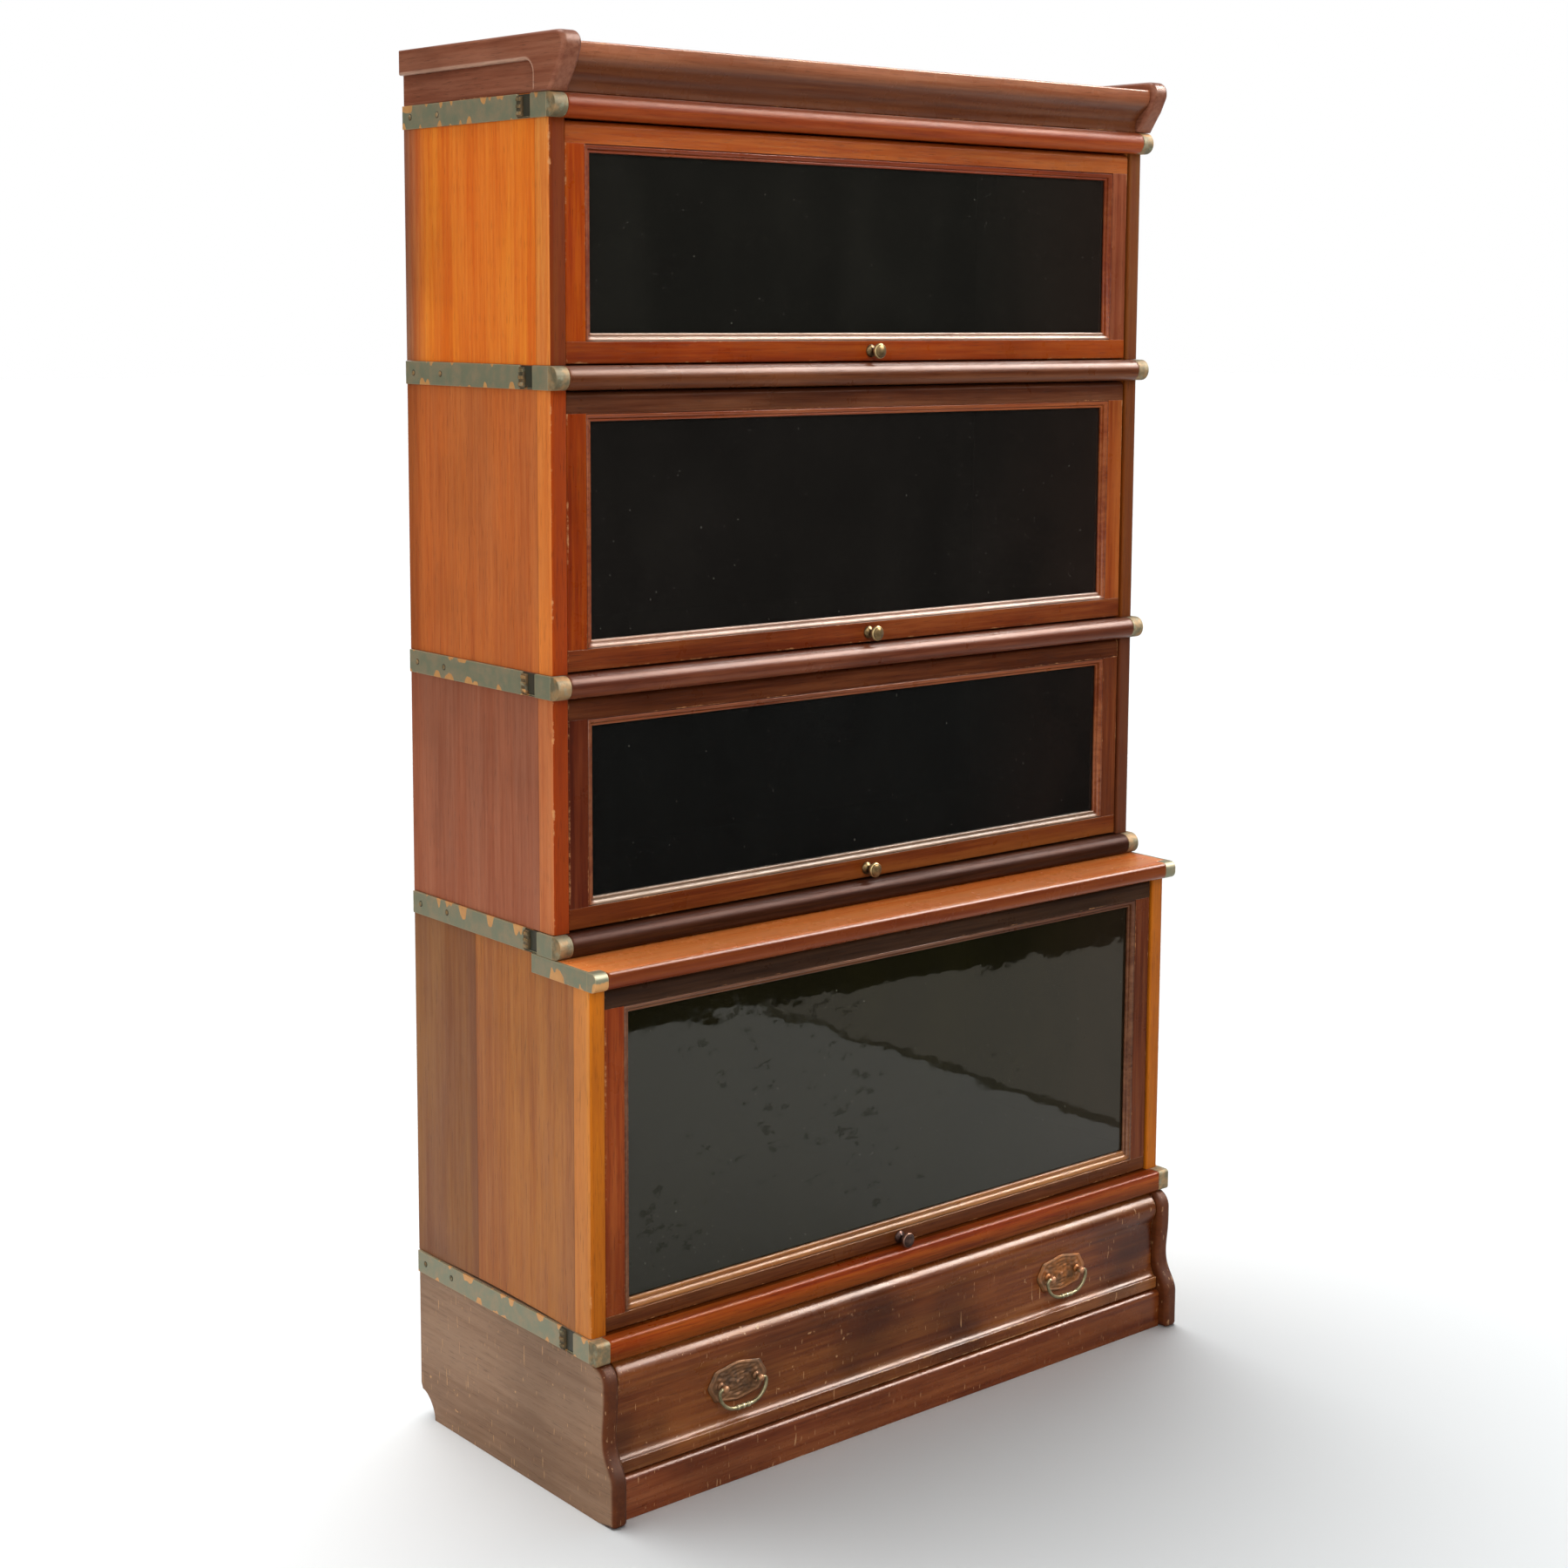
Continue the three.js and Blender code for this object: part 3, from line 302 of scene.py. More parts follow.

# Two glowing pieces that only glossy rays meet: a painted reflection of a floor seam and the floor beyond.
glowing_floor_reflections = {"glowing_floor_seam": (0.935, 0.962, (0.3, 0.29, 0.24)), "glowing_floor_beyond": (0.962, 2.2, (0.8, 0.77, 0.7))}
for name, (near, far, colour) in glowing_floor_reflections.items():
    piece_material, _, shader = new_material(name)
    fill(shader, {**dull, "Base Color": black, "Emission Color": (*colour, 1), "Emission Strength": 0.95})
    corners = [(near, -2.0, 0.001), (far, -2.0, 0.001), (far, -0.5, 0.001), (near, -0.5, 0.001)]
    flat_piece(name, corners, piece_material)
print("room ready")

# %% [markdown]
# ## Mahogany
# Every board is stained mahogany under old varnish. Four layers of noise, stretched along the
# grain, make its figure: broad tone bands, streaks, fine fibres and short dark pores. A picture of
# wood would repeat and stretch over the mouldings, while noise in the piece's own space runs
# through the whole board, as real grain does. Edges wear paler: a new piece carries the place of
# its edges in an attribute named wear, and a board of the frame works it out from its
# corner line. Where that attribute is below 0, in a hollow, painted shade darkens the wood.

# %% Layers of the wood
grain_scales = {"x": (0.035, 1, 1), "y": (1, 0.035, 1), "z": (1, 1, 0.035)}


def deepened(tone, power):
    """A screen colour with each share of full raised to a power, so above 1 it is darker and redder."""
    return [255 * (value / 255) ** power for value in tone]


def grained(figure, tone, contrast):
    """Dark to light grain: the tone to the power 1 + 0.26 c, the tone, and the tone to 1 - 0.17 c."""
    colour = node(figure.tree, "ValToRGB", {"Fac": figure})
    stops = colour.socket.node.color_ramp.elements
    stops[0].color = from_srgb(deepened(tone, 1 + 0.26 * contrast))
    stops[1].color = from_srgb(deepened(tone, 1 - 0.17 * contrast))
    stops.new(0.5).color = from_srgb(tone)
    return colour


def glued_strips(colour, place, strips, glue):
    """A board glued up of strips. Each has its start, in mm from the back, its factors, and a width if
    its tone changes softly. A sharp change has a dark glue line within 0.3 to 0.9 mm of it."""
    forward = one_axis(place, "Y") * -1000 + back_plane
    for start, factors, *soft in strips:
        width = soft[0] if soft else 0.35
        colour = tinted(ease(forward, start - width, start + width), colour, factors)
        if not soft:
            seam = 1 - ease((forward - start).maths("ABSOLUTE"), 0.3, 0.9)
            colour = blend(seam * 0.35, colour, glue)
    return colour


def rubbed_off(loose, edge, amount):
    """Where varnish has gone: on an edge, and there only where two noises together are high."""
    ragged, patchy = noise(loose, 130, 4, 0.7), noise(loose, 14, 2, 0.5)
    high = ease((ragged + patchy) * 0.62 + edge * 0.42, 1.06, 1.22)
    return high.maths("MULTIPLY", ease(edge, 0.25, 0.8) * amount, clamp=True)


def chipped(worn, loose, amount):
    """Adds small pale chips where a fine noise and half of a broad one pass a height."""
    specks = noise(loose, 95, 2, 0.6) + noise(loose, 7, 2, 0.5) * 0.5
    return worn.maths("MAXIMUM", ease(specks, 1.08 - amount * 0.1, 1.11 - amount * 0.1) * 0.75)


def scratched(worn, place, shift, amount):
    """Adds three sets of thin lines: noise drawn out a long way, in a space turned each time."""
    for turn, length in (((0.5, 0.35, 0.1), 0.13), ((-0.8, -0.6, 0.0), 0.2), ((0.1, 0.05, 0.0), 0.09)):
        line = noise(mapped(place, shift, (1, 1, length), turn), 400, 1, 0.3)
        worn = worn.maths("MAXIMUM", ease(line, 0.775 - amount * 0.02, 0.79 - amount * 0.02) * 0.65)
    return worn


print("layers ready")

# %% [markdown]
# One function puts the layers together, because every board needs all of them. Only the tones, the
# way the grain runs and the amount of wear differ, so those are its arguments.

# %% The wood material
def wood(name, tone, along, seed, second=None, contrast=1.0, streaks=0.5, mottle=None, blotch=0.25,
         strips=(), edge_line=None, front=None, bare=(190, 132, 84), wear_amount=1.0, chips=0.0,
         scratches=0.0, rough=0.34, gloss=0.5, relief=0.22):
    """Stained wood. tone is its middle colour on a screen, and second another, taken where the
    attribute of that name is 1. along is the grain's axis, and seed moves the figure. mottle
    multiplies the colour in long soft patches, and blotch darkens it in round ones. edge_line is the
    worn corner (x, forward) of a board of the frame in mm, and front the factors for the face
    beyond the diagonal through that corner. bare is the wood under the varnish."""
    material, tree, shader = new_material(name)
    place = own_space(tree)
    shift = (seed * 0.37 % 5, seed * 0.73 % 7, seed * 0.19 % 3)
    grain, loose = mapped(place, shift, grain_scales[along]), mapped(place, shift)
    dark = deepened(tone, 1 + 0.3 * contrast)

    bands, streak = noise(grain, 15, 2, 0.5, 0.7), noise(grain, 62, 4, 0.6, 0.3)
    fine, fibre, pore = noise(grain, 230, 3, 0.6), noise(grain, 620, 2, 0.6), noise(grain, 1500, 1, 0.4)
    middle = 0.37 + 0.42 * streaks
    figure = ease(streak * (0.84 * streaks) + bands * 0.34 + fine * 0.4, middle - 0.16, middle + 0.15)
    colour = grained(figure, tone, contrast)
    if second:
        colour = blend(written_value(tree, "second"), colour, grained(figure, second, contrast))
    if mottle:
        drawn_out = [1 if scale == 1 else 0.16 for scale in grain_scales[along]]
        patch = streak * 0.35 + noise(mapped(place, shift, drawn_out), 17, 4, 0.6, 0.4)
        colour = tinted(ease(patch, 0.56, 0.82), colour, mottle)
    cloud = noise(loose, 4.5, 3, 0.55)
    colour = blend(ease(cloud, 0.42, 0.72, 0, blotch), colour, from_srgb(dark, 0.62))
    if strips:
        colour = glued_strips(colour, place, strips, from_srgb(dark, 0.5))
    pore = ease(pore, 0.6, 0.72)
    colour = blend(pore * 0.4, colour, from_srgb(dark, 0.45))

    edge = written_value(tree, "wear")
    if edge_line:
        off_x = one_axis(place, "X").maths("ABSOLUTE") - edge_line[0] * millimetre
        off_y = one_axis(place, "Y") + (edge_line[1] - back_plane) * millimetre
        edge = ease((off_x * off_x + off_y * off_y).maths("SQRT"), 0.0, 0.0055, 1.0, 0.0)
        on_front = ease(off_x + off_y, -0.0004, 0.0004, 1.0, 0.0) * off_y.maths("LESS_THAN", 0.004)
        colour = tinted(on_front, colour, front)
    worn = rubbed_off(loose, edge, wear_amount)
    if chips:
        worn = chipped(worn, loose, chips)
    if scratches:
        worn = scratched(worn, place, shift, scratches)
    # Below 0 the attribute marks a hollow, where painted shade darkens the colour.
    hollow = (edge * -1).maths("MAXIMUM", 0)
    colour = blend(hollow * 0.55, colour, from_srgb(dark, 0.35))
    colour = blend(worn * 0.85, colour, from_srgb(bare))

    uneven = min(0.22, blotch * 0.88)
    smear = noise(loose, 22, 4, 0.65) * uneven + (rough - uneven / 2)
    height = fibre * 0.3 + pore * -0.7 + streak * 0.5 + worn * -0.8
    fill(shader, {"Base Color": colour, "Roughness": hollow * 0.2 + (worn * 0.25 + smear),
                  "Normal": bumps(height, relief, 0.0006),
                  "Specular IOR Level": gloss, "Specular Tint": (1, 0.88, 0.8, 1)})
    return material


print("wood material ready")

# %% [markdown]
# ## Metals
# The bands were plated and lacquered, and have gone grey-green, with tan scallops along both edges
# where the lacquer has flaked. The handle plates are coppered, the bails and knobs are brass gone
# brown. The scallops are worked out from the place across the band, so they follow its edges.

# %% The metal materials
def metal(name, base, stain, bright, seed, metallic=0.8, rough=0.42, scale=40.0):
    """Old metal: a base tone, cloudy stains, and brighter edges where hands have rubbed it."""
    material, tree, shader = new_material(name)
    place = mapped(own_space(tree), (seed, seed * 0.3, 0))
    cloud, grit = noise(place, scale, 5, 0.65), noise(place, scale * 14, 3, 0.6)
    edge = written_value(tree, "wear")
    colour = blend(ease(cloud, 0.4, 0.66), from_srgb(base), from_srgb(stain))
    colour = blend(ease(grit * 0.5 + edge, 0.5, 1.1) * 0.8, colour, from_srgb(bright))
    # Where the mark is below 0, in a hollow, painted shade darkens the metal.
    colour = blend((edge * -0.7).maths("MAXIMUM", 0), colour, from_srgb(stain, 0.3))
    fill(shader, {"Base Color": colour, "Roughness": cloud * 0.3 + (grit * 0.12 + (rough - 0.2)),
                  "Normal": bumps(grit * 0.35 + cloud, 0.4, 0.0004), "Metallic": metallic})
    return material


def band_metal(name, seed):
    """The lacquered bands. The attribute across runs from 0 at the lower edge to 1 at the upper one;
    a flake is where the distance to the nearer edge is below a height that noise gives along it.
    Where the attribute second is 1, the metal is bronze gone brown."""
    material, tree, shader = new_material(name)
    place = mapped(own_space(tree), (seed, seed * 0.7, seed * 0.4))
    across, edge, brown = (written_value(tree, word) for word in ("across", "wear", "second"))
    upper_half = across.maths("GREATER_THAN", 0.5)
    row = node(tree, "CombineXYZ", {"X": one_axis(place, "Y"), "Y": upper_half * 9.7, "Z": seed})
    scallop = ease(noise(row, 62, 1, 0.4), 0.57, 0.72).maths("POWER", 0.45) * 0.32
    near = across.maths("MINIMUM", 1 - across)
    ragged = (noise(place, 260, 3, 0.6) - 0.55) * 0.12
    flake = ease(scallop + ragged - near, 0.0, 0.03)
    cloud, grit = noise(place, 60, 5, 0.65), noise(place, 700, 3, 0.6)
    colour = blend(ease(cloud, 0.35, 0.7), from_srgb((120, 120, 94)), from_srgb((144, 126, 96)))
    colour = blend(grit * 0.4, colour, from_srgb((98, 104, 88)))
    colour = blend(ease(edge, 0.3, 1) * 0.5, colour, from_srgb((150, 132, 98)))
    colour = blend(flake, colour, blend(cloud, from_srgb((214, 160, 96)), from_srgb((168, 112, 62))))
    bronze = blend(ease(cloud, 0.42, 0.62), from_srgb((88, 74, 46)), from_srgb((146, 110, 66)))
    colour = blend(brown * ease(noise(place, 110, 3, 0.6), 0.3, 0.5), colour, bronze)
    # Below 0 the mark paints shade, near black: on the slot's floor, on the bar between its ridges and round each
    # pin's foot.
    colour = blend((edge * -0.85).maths("MAXIMUM", 0), colour, from_srgb((26, 24, 18)))
    fill(shader, {"Base Color": colour, "Roughness": brown * 0.24 + (cloud * 0.25 + 0.36),
                  "Normal": bumps(flake * -0.8 + grit * 0.25, 0.5, 0.0004), "Metallic": 0.35})
    return material


print("metals ready")

# %% [markdown]
# ## Glass
# The panes are old drawn glass: nearly black in front of the unlit shelves, and a little wavy, so
# mirrored lines wander in them. A clear gloss over near black stands for the glass and the dark
# behind it, and only a little light passes through.

# %% The glass material
def pane_glass(name, seed, see_through, deep, smudges):
    """A pane in front of dark shelves: a clear gloss over near black, with slow waves in its face. Dust
    specks, faint upright wipe marks and, with smudges, dull dark spots lie on it. A brown tint rises
    towards the right end: painted light, where the light catches the inside of the case."""
    material, tree, shader = new_material(name)
    place = own_space(tree)
    moved = mapped(place, (seed, seed, seed))
    dust = noise(moved, 90, 5, 0.7)
    wipes = noise(mapped(moved, scale=(1, 1, 0.5)), 6, 5, 0.65, 0.5)
    colour = blend(ease(wipes, 0.35, 0.75), from_srgb(deep), from_srgb(deep, 1.3))
    # Painted light: a brown tint towards the right end, the lit inside of the case.
    lit_inside = ease(one_axis(place, "X"), 0.12, 0.42) * ease(wipes, 0.3, 0.6, 0.1, 0.4)
    colour = blend(lit_inside, colour, from_srgb((46, 32, 26)))
    speck = ease(noise(moved, 420, 1, 0.3), 0.775, 0.8)
    colour = blend(speck * 0.8, colour, from_srgb((120, 116, 106)))
    blots = noise(moved, 5, 1, 0.5) * 0.5 + noise(mapped(moved, scale=(0.8, 1, 1.3)), 60, 4, 0.7)
    spot = ease(blots, 0.9, 0.96) * smudges
    wave, ripple = noise(mapped(moved, scale=(1, 1, 1.7)), 9, 2, 0.5), noise(moved, 34, 2, 0.5)
    fill(shader, {"Base Color": colour, "Roughness": ease(dust, 0.3, 0.9, 0.01, 0.07) + spot * 0.06,
                  "Specular IOR Level": spot * -0.2 + 0.5, "Normal": bumps(ripple * 0.2 + wave, 0.35, 0.0009),
                  "IOR": 1.5, "Specular Tint": (1, 0.97, 0.87, 1), "Alpha": 1 - see_through})
    return material


print("glass ready")

# %% [markdown]
# ## Surfaces from an outline
# Nearly every piece is a length of moulding: one closed outline carried along a straight run. An
# outline is written as corners with a radius, and free curves between them. Each corner becomes a
# true arc with a point just beyond either end of it, so the faces beside the arc stay flat when they
# are shaded smooth, and the wear attribute is 1 on the arc and 0 beside it; a hollow arc
# gets -1, which paints shade into it. A bevel modifier could round the edges too, but would know
# nothing of wear or painted shade, and needs a clean mesh to work on.

# %% Curves and outlines
def bezier(start, pull_out, pull_in, end, count=14):
    """Cubic curve: the sum of four points, weighted (1-s)^3, 3(1-s)^2 s, 3(1-s) s^2 and s^3."""
    share = np.linspace(0, 1, count)[:, None]
    a, b, c, d = np.array([start, pull_out, pull_in, end], float)
    rest = 1 - share
    return rest**3 * a + 3 * rest**2 * share * b + 3 * rest * share**2 * c + share**3 * d


def outline(parts, guard=3.0, least=0.4):
    """A closed outline in millimetres. A part is a corner (u, v, radius) or an array of points of a
    free curve. A corner's arc has its middle on the half-angle line at radius / sin(half angle), and
    touches both sides at radius / tan(half angle). Gives the points, the direction out of the filled
    side at each, and a mark for each: how worn it is on a sharp outward corner, up to 1, -1 in a
    hollow one, where the mark paints shade, and 0 between. For an outward arc it also keeps the
    middle, the radius, and the step in which the middle moves inwards when the outline shrinks by
    more than the radius."""
    runs = [np.array([p[:2]], float) if isinstance(p, tuple) else p for p in parts]
    chain = np.concatenate(runs)
    after = np.roll(chain, -1, 0)
    turning = np.sign(np.sum(chain[:, 0] * after[:, 1] - chain[:, 1] * after[:, 0]))
    count = len(parts)
    before, beyond = [runs[i - 1][-1] for i in range(count)], [runs[(i + 1) % count][0] for i in range(count)]

    def half_angle(i):
        a, b = before[i] - runs[i][0], beyond[i] - runs[i][0]
        return np.arccos(np.clip(a @ b / np.linalg.norm(a) / np.linalg.norm(b), -1, 1)) / 2

    reach = [max(part[2], least) / np.tan(half_angle(i)) if isinstance(part, tuple) else 0.0
             for i, part in enumerate(parts)]
    rows = []  # an array per run of points: point, out, middle and step, each with u and v, then worn and radius

    def add(points, out, worn, middle=(0, 0), radius=np.inf, step=(0, 0)):
        points = np.atleast_2d(points)
        values = [points, *(np.broadcast_to(value, points.shape) for value in (out, middle, step))]
        rows.append(np.column_stack([*values, np.full((len(points), 2), (worn, radius))]))

    for i, part in enumerate(parts):
        if not isinstance(part, tuple):
            way = np.gradient(part, axis=0)
            out = np.column_stack([way[:, 1], -way[:, 0]]) / np.linalg.norm(way, axis=1, keepdims=True)
            add(part, out * turning, 0.0)
            continue
        here, half = runs[i][0], half_angle(i)
        a, b = before[i] - here, beyond[i] - here
        room_a, room_b = np.linalg.norm(a), np.linalg.norm(b)
        a, b = a / room_a, b / room_b
        out_a, out_b = np.array([-a[1], a[0]]) * turning, np.array([b[1], -b[0]]) * turning
        radius, touch = max(part[2], least), reach[i]
        inward = (a + b) / np.linalg.norm(a + b)
        middle = here + inward * radius / np.sin(half)
        sweep = np.pi - 2 * half
        share = np.linspace(0, 1, max(4, int(np.ceil(sweep / 0.2)) + 1))[:, None]
        begin, end = (here + a * touch - middle) / radius, (here + b * touch - middle) / radius
        spoke = (np.sin((1 - share) * sweep) * begin + np.sin(share * sweep) * end) / np.sin(sweep)
        worn = float(np.clip(2.2 / radius, 0.05, 1))  # a wide rounding is rubbed less than a sharp edge
        free_a, free_b = room_a - touch - reach[i - 1], room_b - touch - reach[(i + 1) % count]
        if free_a > 1:
            add(here + a * (touch + min(guard, free_a * 0.45)), out_a, 0.0)
        if (a[1] * b[0] - a[0] * b[1]) * turning > 0:
            add(middle + spoke * radius, spoke, worn, middle, radius, inward / np.sin(half))
        else:
            # A hollow arc gets a mark below 0: painted shade.
            add(middle + spoke * radius, -spoke, -worn)
        if free_b > 1:
            add(here + b * (touch + min(guard, free_b * 0.45)), out_b, 0.0)
    points, out, middle, step, rest = np.split(np.concatenate(rows), [2, 4, 6, 8], axis=1)
    return {"points": points, "out": out, "worn": rest[:, 0], "radius": rest[:, 1], "middle": middle, "step": step}


print("outlines ready")

# %% [markdown]
# Most outlines are rectangles with a radius at each corner. To round the end of a length, its outline
# is drawn in a little more with every step towards the end.

# %% Rectangles, and outlines drawn in
def box_outline(rear, front, low, high, radii=(0.4, 0.4, 0.4, 0.4), guard=3.0):
    """A rectangle, with the radii of its rear low, rear high, front high and front low corner."""
    corners = ((rear, low), (rear, high), (front, high), (front, low))
    return outline([(*corner, radius) for corner, radius in zip(corners, radii)], guard)


def shrunk(shape, depth):
    """The outline drawn in by depth, which may differ from point to point: point - out x depth. On
    an outward arc this holds until the radius is nearly used up; from there the rest of the depth
    moves the arc's middle inwards along the half-angle line, so the outline never crosses itself."""
    depth = np.broadcast_to(depth, shape["radius"].shape)[:, None]
    radius = shape["radius"][:, None] - 0.02
    whole = np.where(np.isfinite(radius), radius, 0)
    plain = shape["points"] - shape["out"] * depth
    drawn = shape["middle"] + shape["step"] * (depth - whole) + shape["out"] * 0.02
    return np.where(depth > radius, drawn, plain)


print("rectangles ready")

# %% [markdown]
# A shell is kept as plain arrays until the piece is whole: its points, its square faces, its end
# faces and the attributes. That way several shells can become one piece.

# %% Helpers for shells
def grid_faces(rows, columns):
    """Square faces between neighbouring rows of a grid whose rows are closed rings."""
    row, column = np.arange(rows - 1)[:, None] * columns, np.arange(columns)[None, :]
    beside, above = (column + 1) % columns, row + columns
    return np.stack([row + column, row + beside, above + beside, above + column], -1).reshape(-1, 4)


def shell_of(points, wear=0.0, flat=False):
    """A shell from rings of points, rows x columns x (x, forward, up), closed by a face at both ends.
    With flat, the faces beside the ends are shaded flat too."""
    rows, columns, _ = points.shape
    last = (rows - 1) * columns
    return {"points": points.reshape(-1, 3), "faces": grid_faces(rows, columns),
            "ends": [list(range(columns))[::-1], list(range(last, last + columns))],
            "wear": np.broadcast_to(wear, (rows, columns)).ravel(), "flat": columns if flat else 0}


def there_and_back(rows):
    """Rows of numbers for the edge at one end, and the same in reverse for the other end."""
    return np.concatenate([rows, rows[::-1]])


def carried(shape, span, order=(2, 0, 1), ease_ends=0.6, guard=2.0, end_wear=1.0):
    """A length of moulding. The outline is repeated along the run from span[0] to span[1]. Near each
    end it shrinks by r(1 - sin a) while it moves r(1 - cos a) along, which rounds the end's edge with
    the radius r. order says which of (u, v, run) becomes x, forward and up."""
    worn = shape["worn"]
    turn = np.linspace(0, np.pi / 2, 5)
    low, high = span
    shrink = np.concatenate([[ease_ends + guard], ease_ends * (1 - np.sin(turn)), [0.0]])
    inmost = min(ease_ends + guard, (high - low) * 0.45)
    along = np.concatenate([[0.0], ease_ends * (1 - np.cos(turn)), [inmost]])
    edge = there_and_back(np.concatenate([[0.0], np.full(len(turn), end_wear), [0.0]]))[:, None]
    run = np.concatenate([low + along, high - along[::-1]])
    rings = there_and_back(np.stack([shrunk(shape, depth) for depth in shrink]))
    full = np.concatenate([rings, np.broadcast_to(run[:, None, None], (*rings.shape[:2], 1))], 2)
    wear = np.where(edge > 0, np.maximum(edge, worn[None]), worn[None] * (edge + 1 > 0))
    wear[[0, -1]] = 0
    return shell_of(full[..., list(order)], wear, flat=True)


edge_turn = np.linspace(0, np.pi / 2, 8)  # the angles of the rings that round a board's edge
edge_rub = np.sin(np.linspace(0.15, 1.4, len(edge_turn)))  # how worn those rings are


def rounded_board(shape, span, radius, guard):
    """A board carried along x, whose edge is rounded with a radius that differs round its outline. It
    shrinks by r(1 - sin a) while it moves r(1 - cos a) along, as carried does."""
    shrink = np.concatenate([[1.0], 1 - np.sin(edge_turn), [0.0]])[:, None] * radius
    along = np.concatenate([[0.0], 1 - np.cos(edge_turn), [1.0]])[:, None] * radius
    shrink[0] += guard
    along[-1] += 1.0
    rings = there_and_back(np.stack([shrunk(shape, depth) for depth in shrink]))
    run = np.concatenate([span[0] + along, span[1] - along[::-1]])
    return shell_of(np.concatenate([run[..., None], rings], 2), flat=True)


def turned(shape, centre, direction="forward", sides=40, wear=None):
    """A turned shape: an open outline of (radius, length) points, spun about a line through centre.
    Point = centre + radius (cos a, sin a) across the line + length along it."""
    radius, length = np.array(shape, float).T[..., None]
    angle = np.linspace(0, 2 * np.pi, sides, endpoint=False)[None]
    first, second = radius * np.cos(angle), radius * np.sin(angle)
    run = np.broadcast_to(length, first.shape)
    columns = {"forward": (first, run, second), "x": (run, first, second)}[direction]
    return shell_of(np.stack(columns, -1) + np.array(centre, float), np.array(wear, float)[:, None])


def toned(shell, share):
    """The same shell with its share of the second tone."""
    return {**shell, "second": np.broadcast_to(share, len(shell["points"]))}


def on_side(shells, side):
    """The shells as they are on the left of the case; on the right every x changes its sign."""
    return shells if side == "left" else [{**shell, "points": shell["points"] * [-1, 1, 1]} for shell in shells]


print("shell helpers ready")

# %% [markdown]
# A piece is made last of all. Its faces are turned outwards, its attributes are written into the
# mesh, it is hung on the body it rides on, and the solid of the frame that it stands for is hidden.

# %% Turn shells into a piece
def facing_out(shell):
    """Turns every face round when the shell encloses a negative volume, so all of them face out. Six
    times the volume is the sum of a . (b x c) over triangles that fan out from a face's first point."""
    a, b, c, d = (shell["points"][shell["faces"][:, k]] for k in range(4))
    total = np.sum(a * np.cross(b, c)) + np.sum(a * np.cross(c, d))
    for end in shell["ends"]:
        corner = shell["points"][end]
        total += np.sum(corner[0] * np.cross(corner[1:-1], corner[2:]))
    if total > 0:  # forward runs against y, so a positive volume here is a negative one in the frame
        return {**shell, "faces": shell["faces"][:, ::-1], "ends": [end[::-1] for end in shell["ends"]]}
    return shell


def make(name, shells, material, body, stands_for=None, across=None):
    """Joins shells into one piece: x stays, forward becomes -y from the back plane, and all is turned
    into metres. Faces are shaded smooth, but for the flat ends and the ring of faces beside them.
    across=(low, high) writes how far up between two heights each point is."""
    shells = [facing_out(shell) for shell in shells]
    starts = np.cumsum([0] + [len(shell["points"]) for shell in shells])
    points = np.concatenate([shell["points"] for shell in shells])
    faces = [face for shell, start in zip(shells, starts) for face in (shell["faces"] + start).tolist()]
    faces += [(np.array(end) + start).tolist() for shell, start in zip(shells, starts) for end in shell["ends"]]
    placed = np.column_stack([points[:, 0], back_plane - points[:, 1], points[:, 2]]) * millimetre
    mesh = bpy.data.meshes.new(name)
    mesh.from_pydata(placed.tolist(), [], faces)
    values = {"wear": np.concatenate([shell["wear"] for shell in shells])}
    if any("second" in shell for shell in shells):
        values["second"] = np.concatenate([shell.get("second", 0 * shell["wear"]) for shell in shells])
    if across:
        values["across"] = (points[:, 2] - across[0]) / (across[1] - across[0])
    for word, value in values.items():
        mesh.attributes.new(word, "FLOAT", "POINT").data.foreach_set("value", value.astype(np.float32))
    smooth = []
    for shell in shells:
        kept = np.ones(len(shell["faces"]), bool)
        if shell["flat"]:
            kept[: shell["flat"]] = kept[-shell["flat"] :] = False
        smooth.append(kept)
    smooth.append(np.zeros(sum(len(shell["ends"]) for shell in shells), bool))
    mesh.polygons.foreach_set("use_smooth", np.concatenate(smooth))
    mesh.materials.append(material)
    made = bpy.data.objects.new(name, mesh)
    scene.collection.objects.link(made)
    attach(made, body)
    if stands_for:
        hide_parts(stands_for)


print("pieces can be made")

# %% [markdown]
# ## The units
# The table below lists the book sections from the floor up: where each starts, how high and how
# deep it is. The deep one at the bottom carries a step board in front of the section above.

# %% Sizes of the units
sections = {  # height of the foot above the floor, height and depth
    4: (193.5, 414.0, 336.0), 3: (607.5, 270.0, 274.0), 2: (877.5, 314.0, 274.0), 1: (1191.5, 270.0, 274.0),
}
tops = {number: floor_up + height for number, (floor_up, height, _) in sections.items()}
case_half, inner_half = 429.0, 409.0
upper_depth, lower_depth, base_height, cornice_floor = 274.0, 336.0, 193.5, 1461.5
nosing_height, nosing_reach, step_thickness, step_back = 24.7, 16.0, 20.3, 236.0
band_inner, band_outer, cap_inner = 429.3, 432.0, 415.3
door_half, sight_half, rail_width = 407.5, 374.5, 31.0
low_rails = {1: 31.0, 2: 31.0, 3: 31.0, 4: 24.5}
door_face = {number: depth - 3.0 for number, (_, _, depth) in sections.items()}
gap = 1.5  # left free over and under a door
play = 0.3  # left between two pieces that meet
hair = 0.25  # a part let into another stays this far behind its face, so no two faces share a plane


def door_heights(number):
    """Lower edge, upper edge and the two edges of the glass, as heights above the floor."""
    low = sections[number][0] + gap
    high = tops[number] - nosing_height - gap - (step_thickness if number == 4 else 0)
    return low, high, low + low_rails[number], high - rail_width


for number in sections:
    print("section", number, "door heights", door_heights(number))

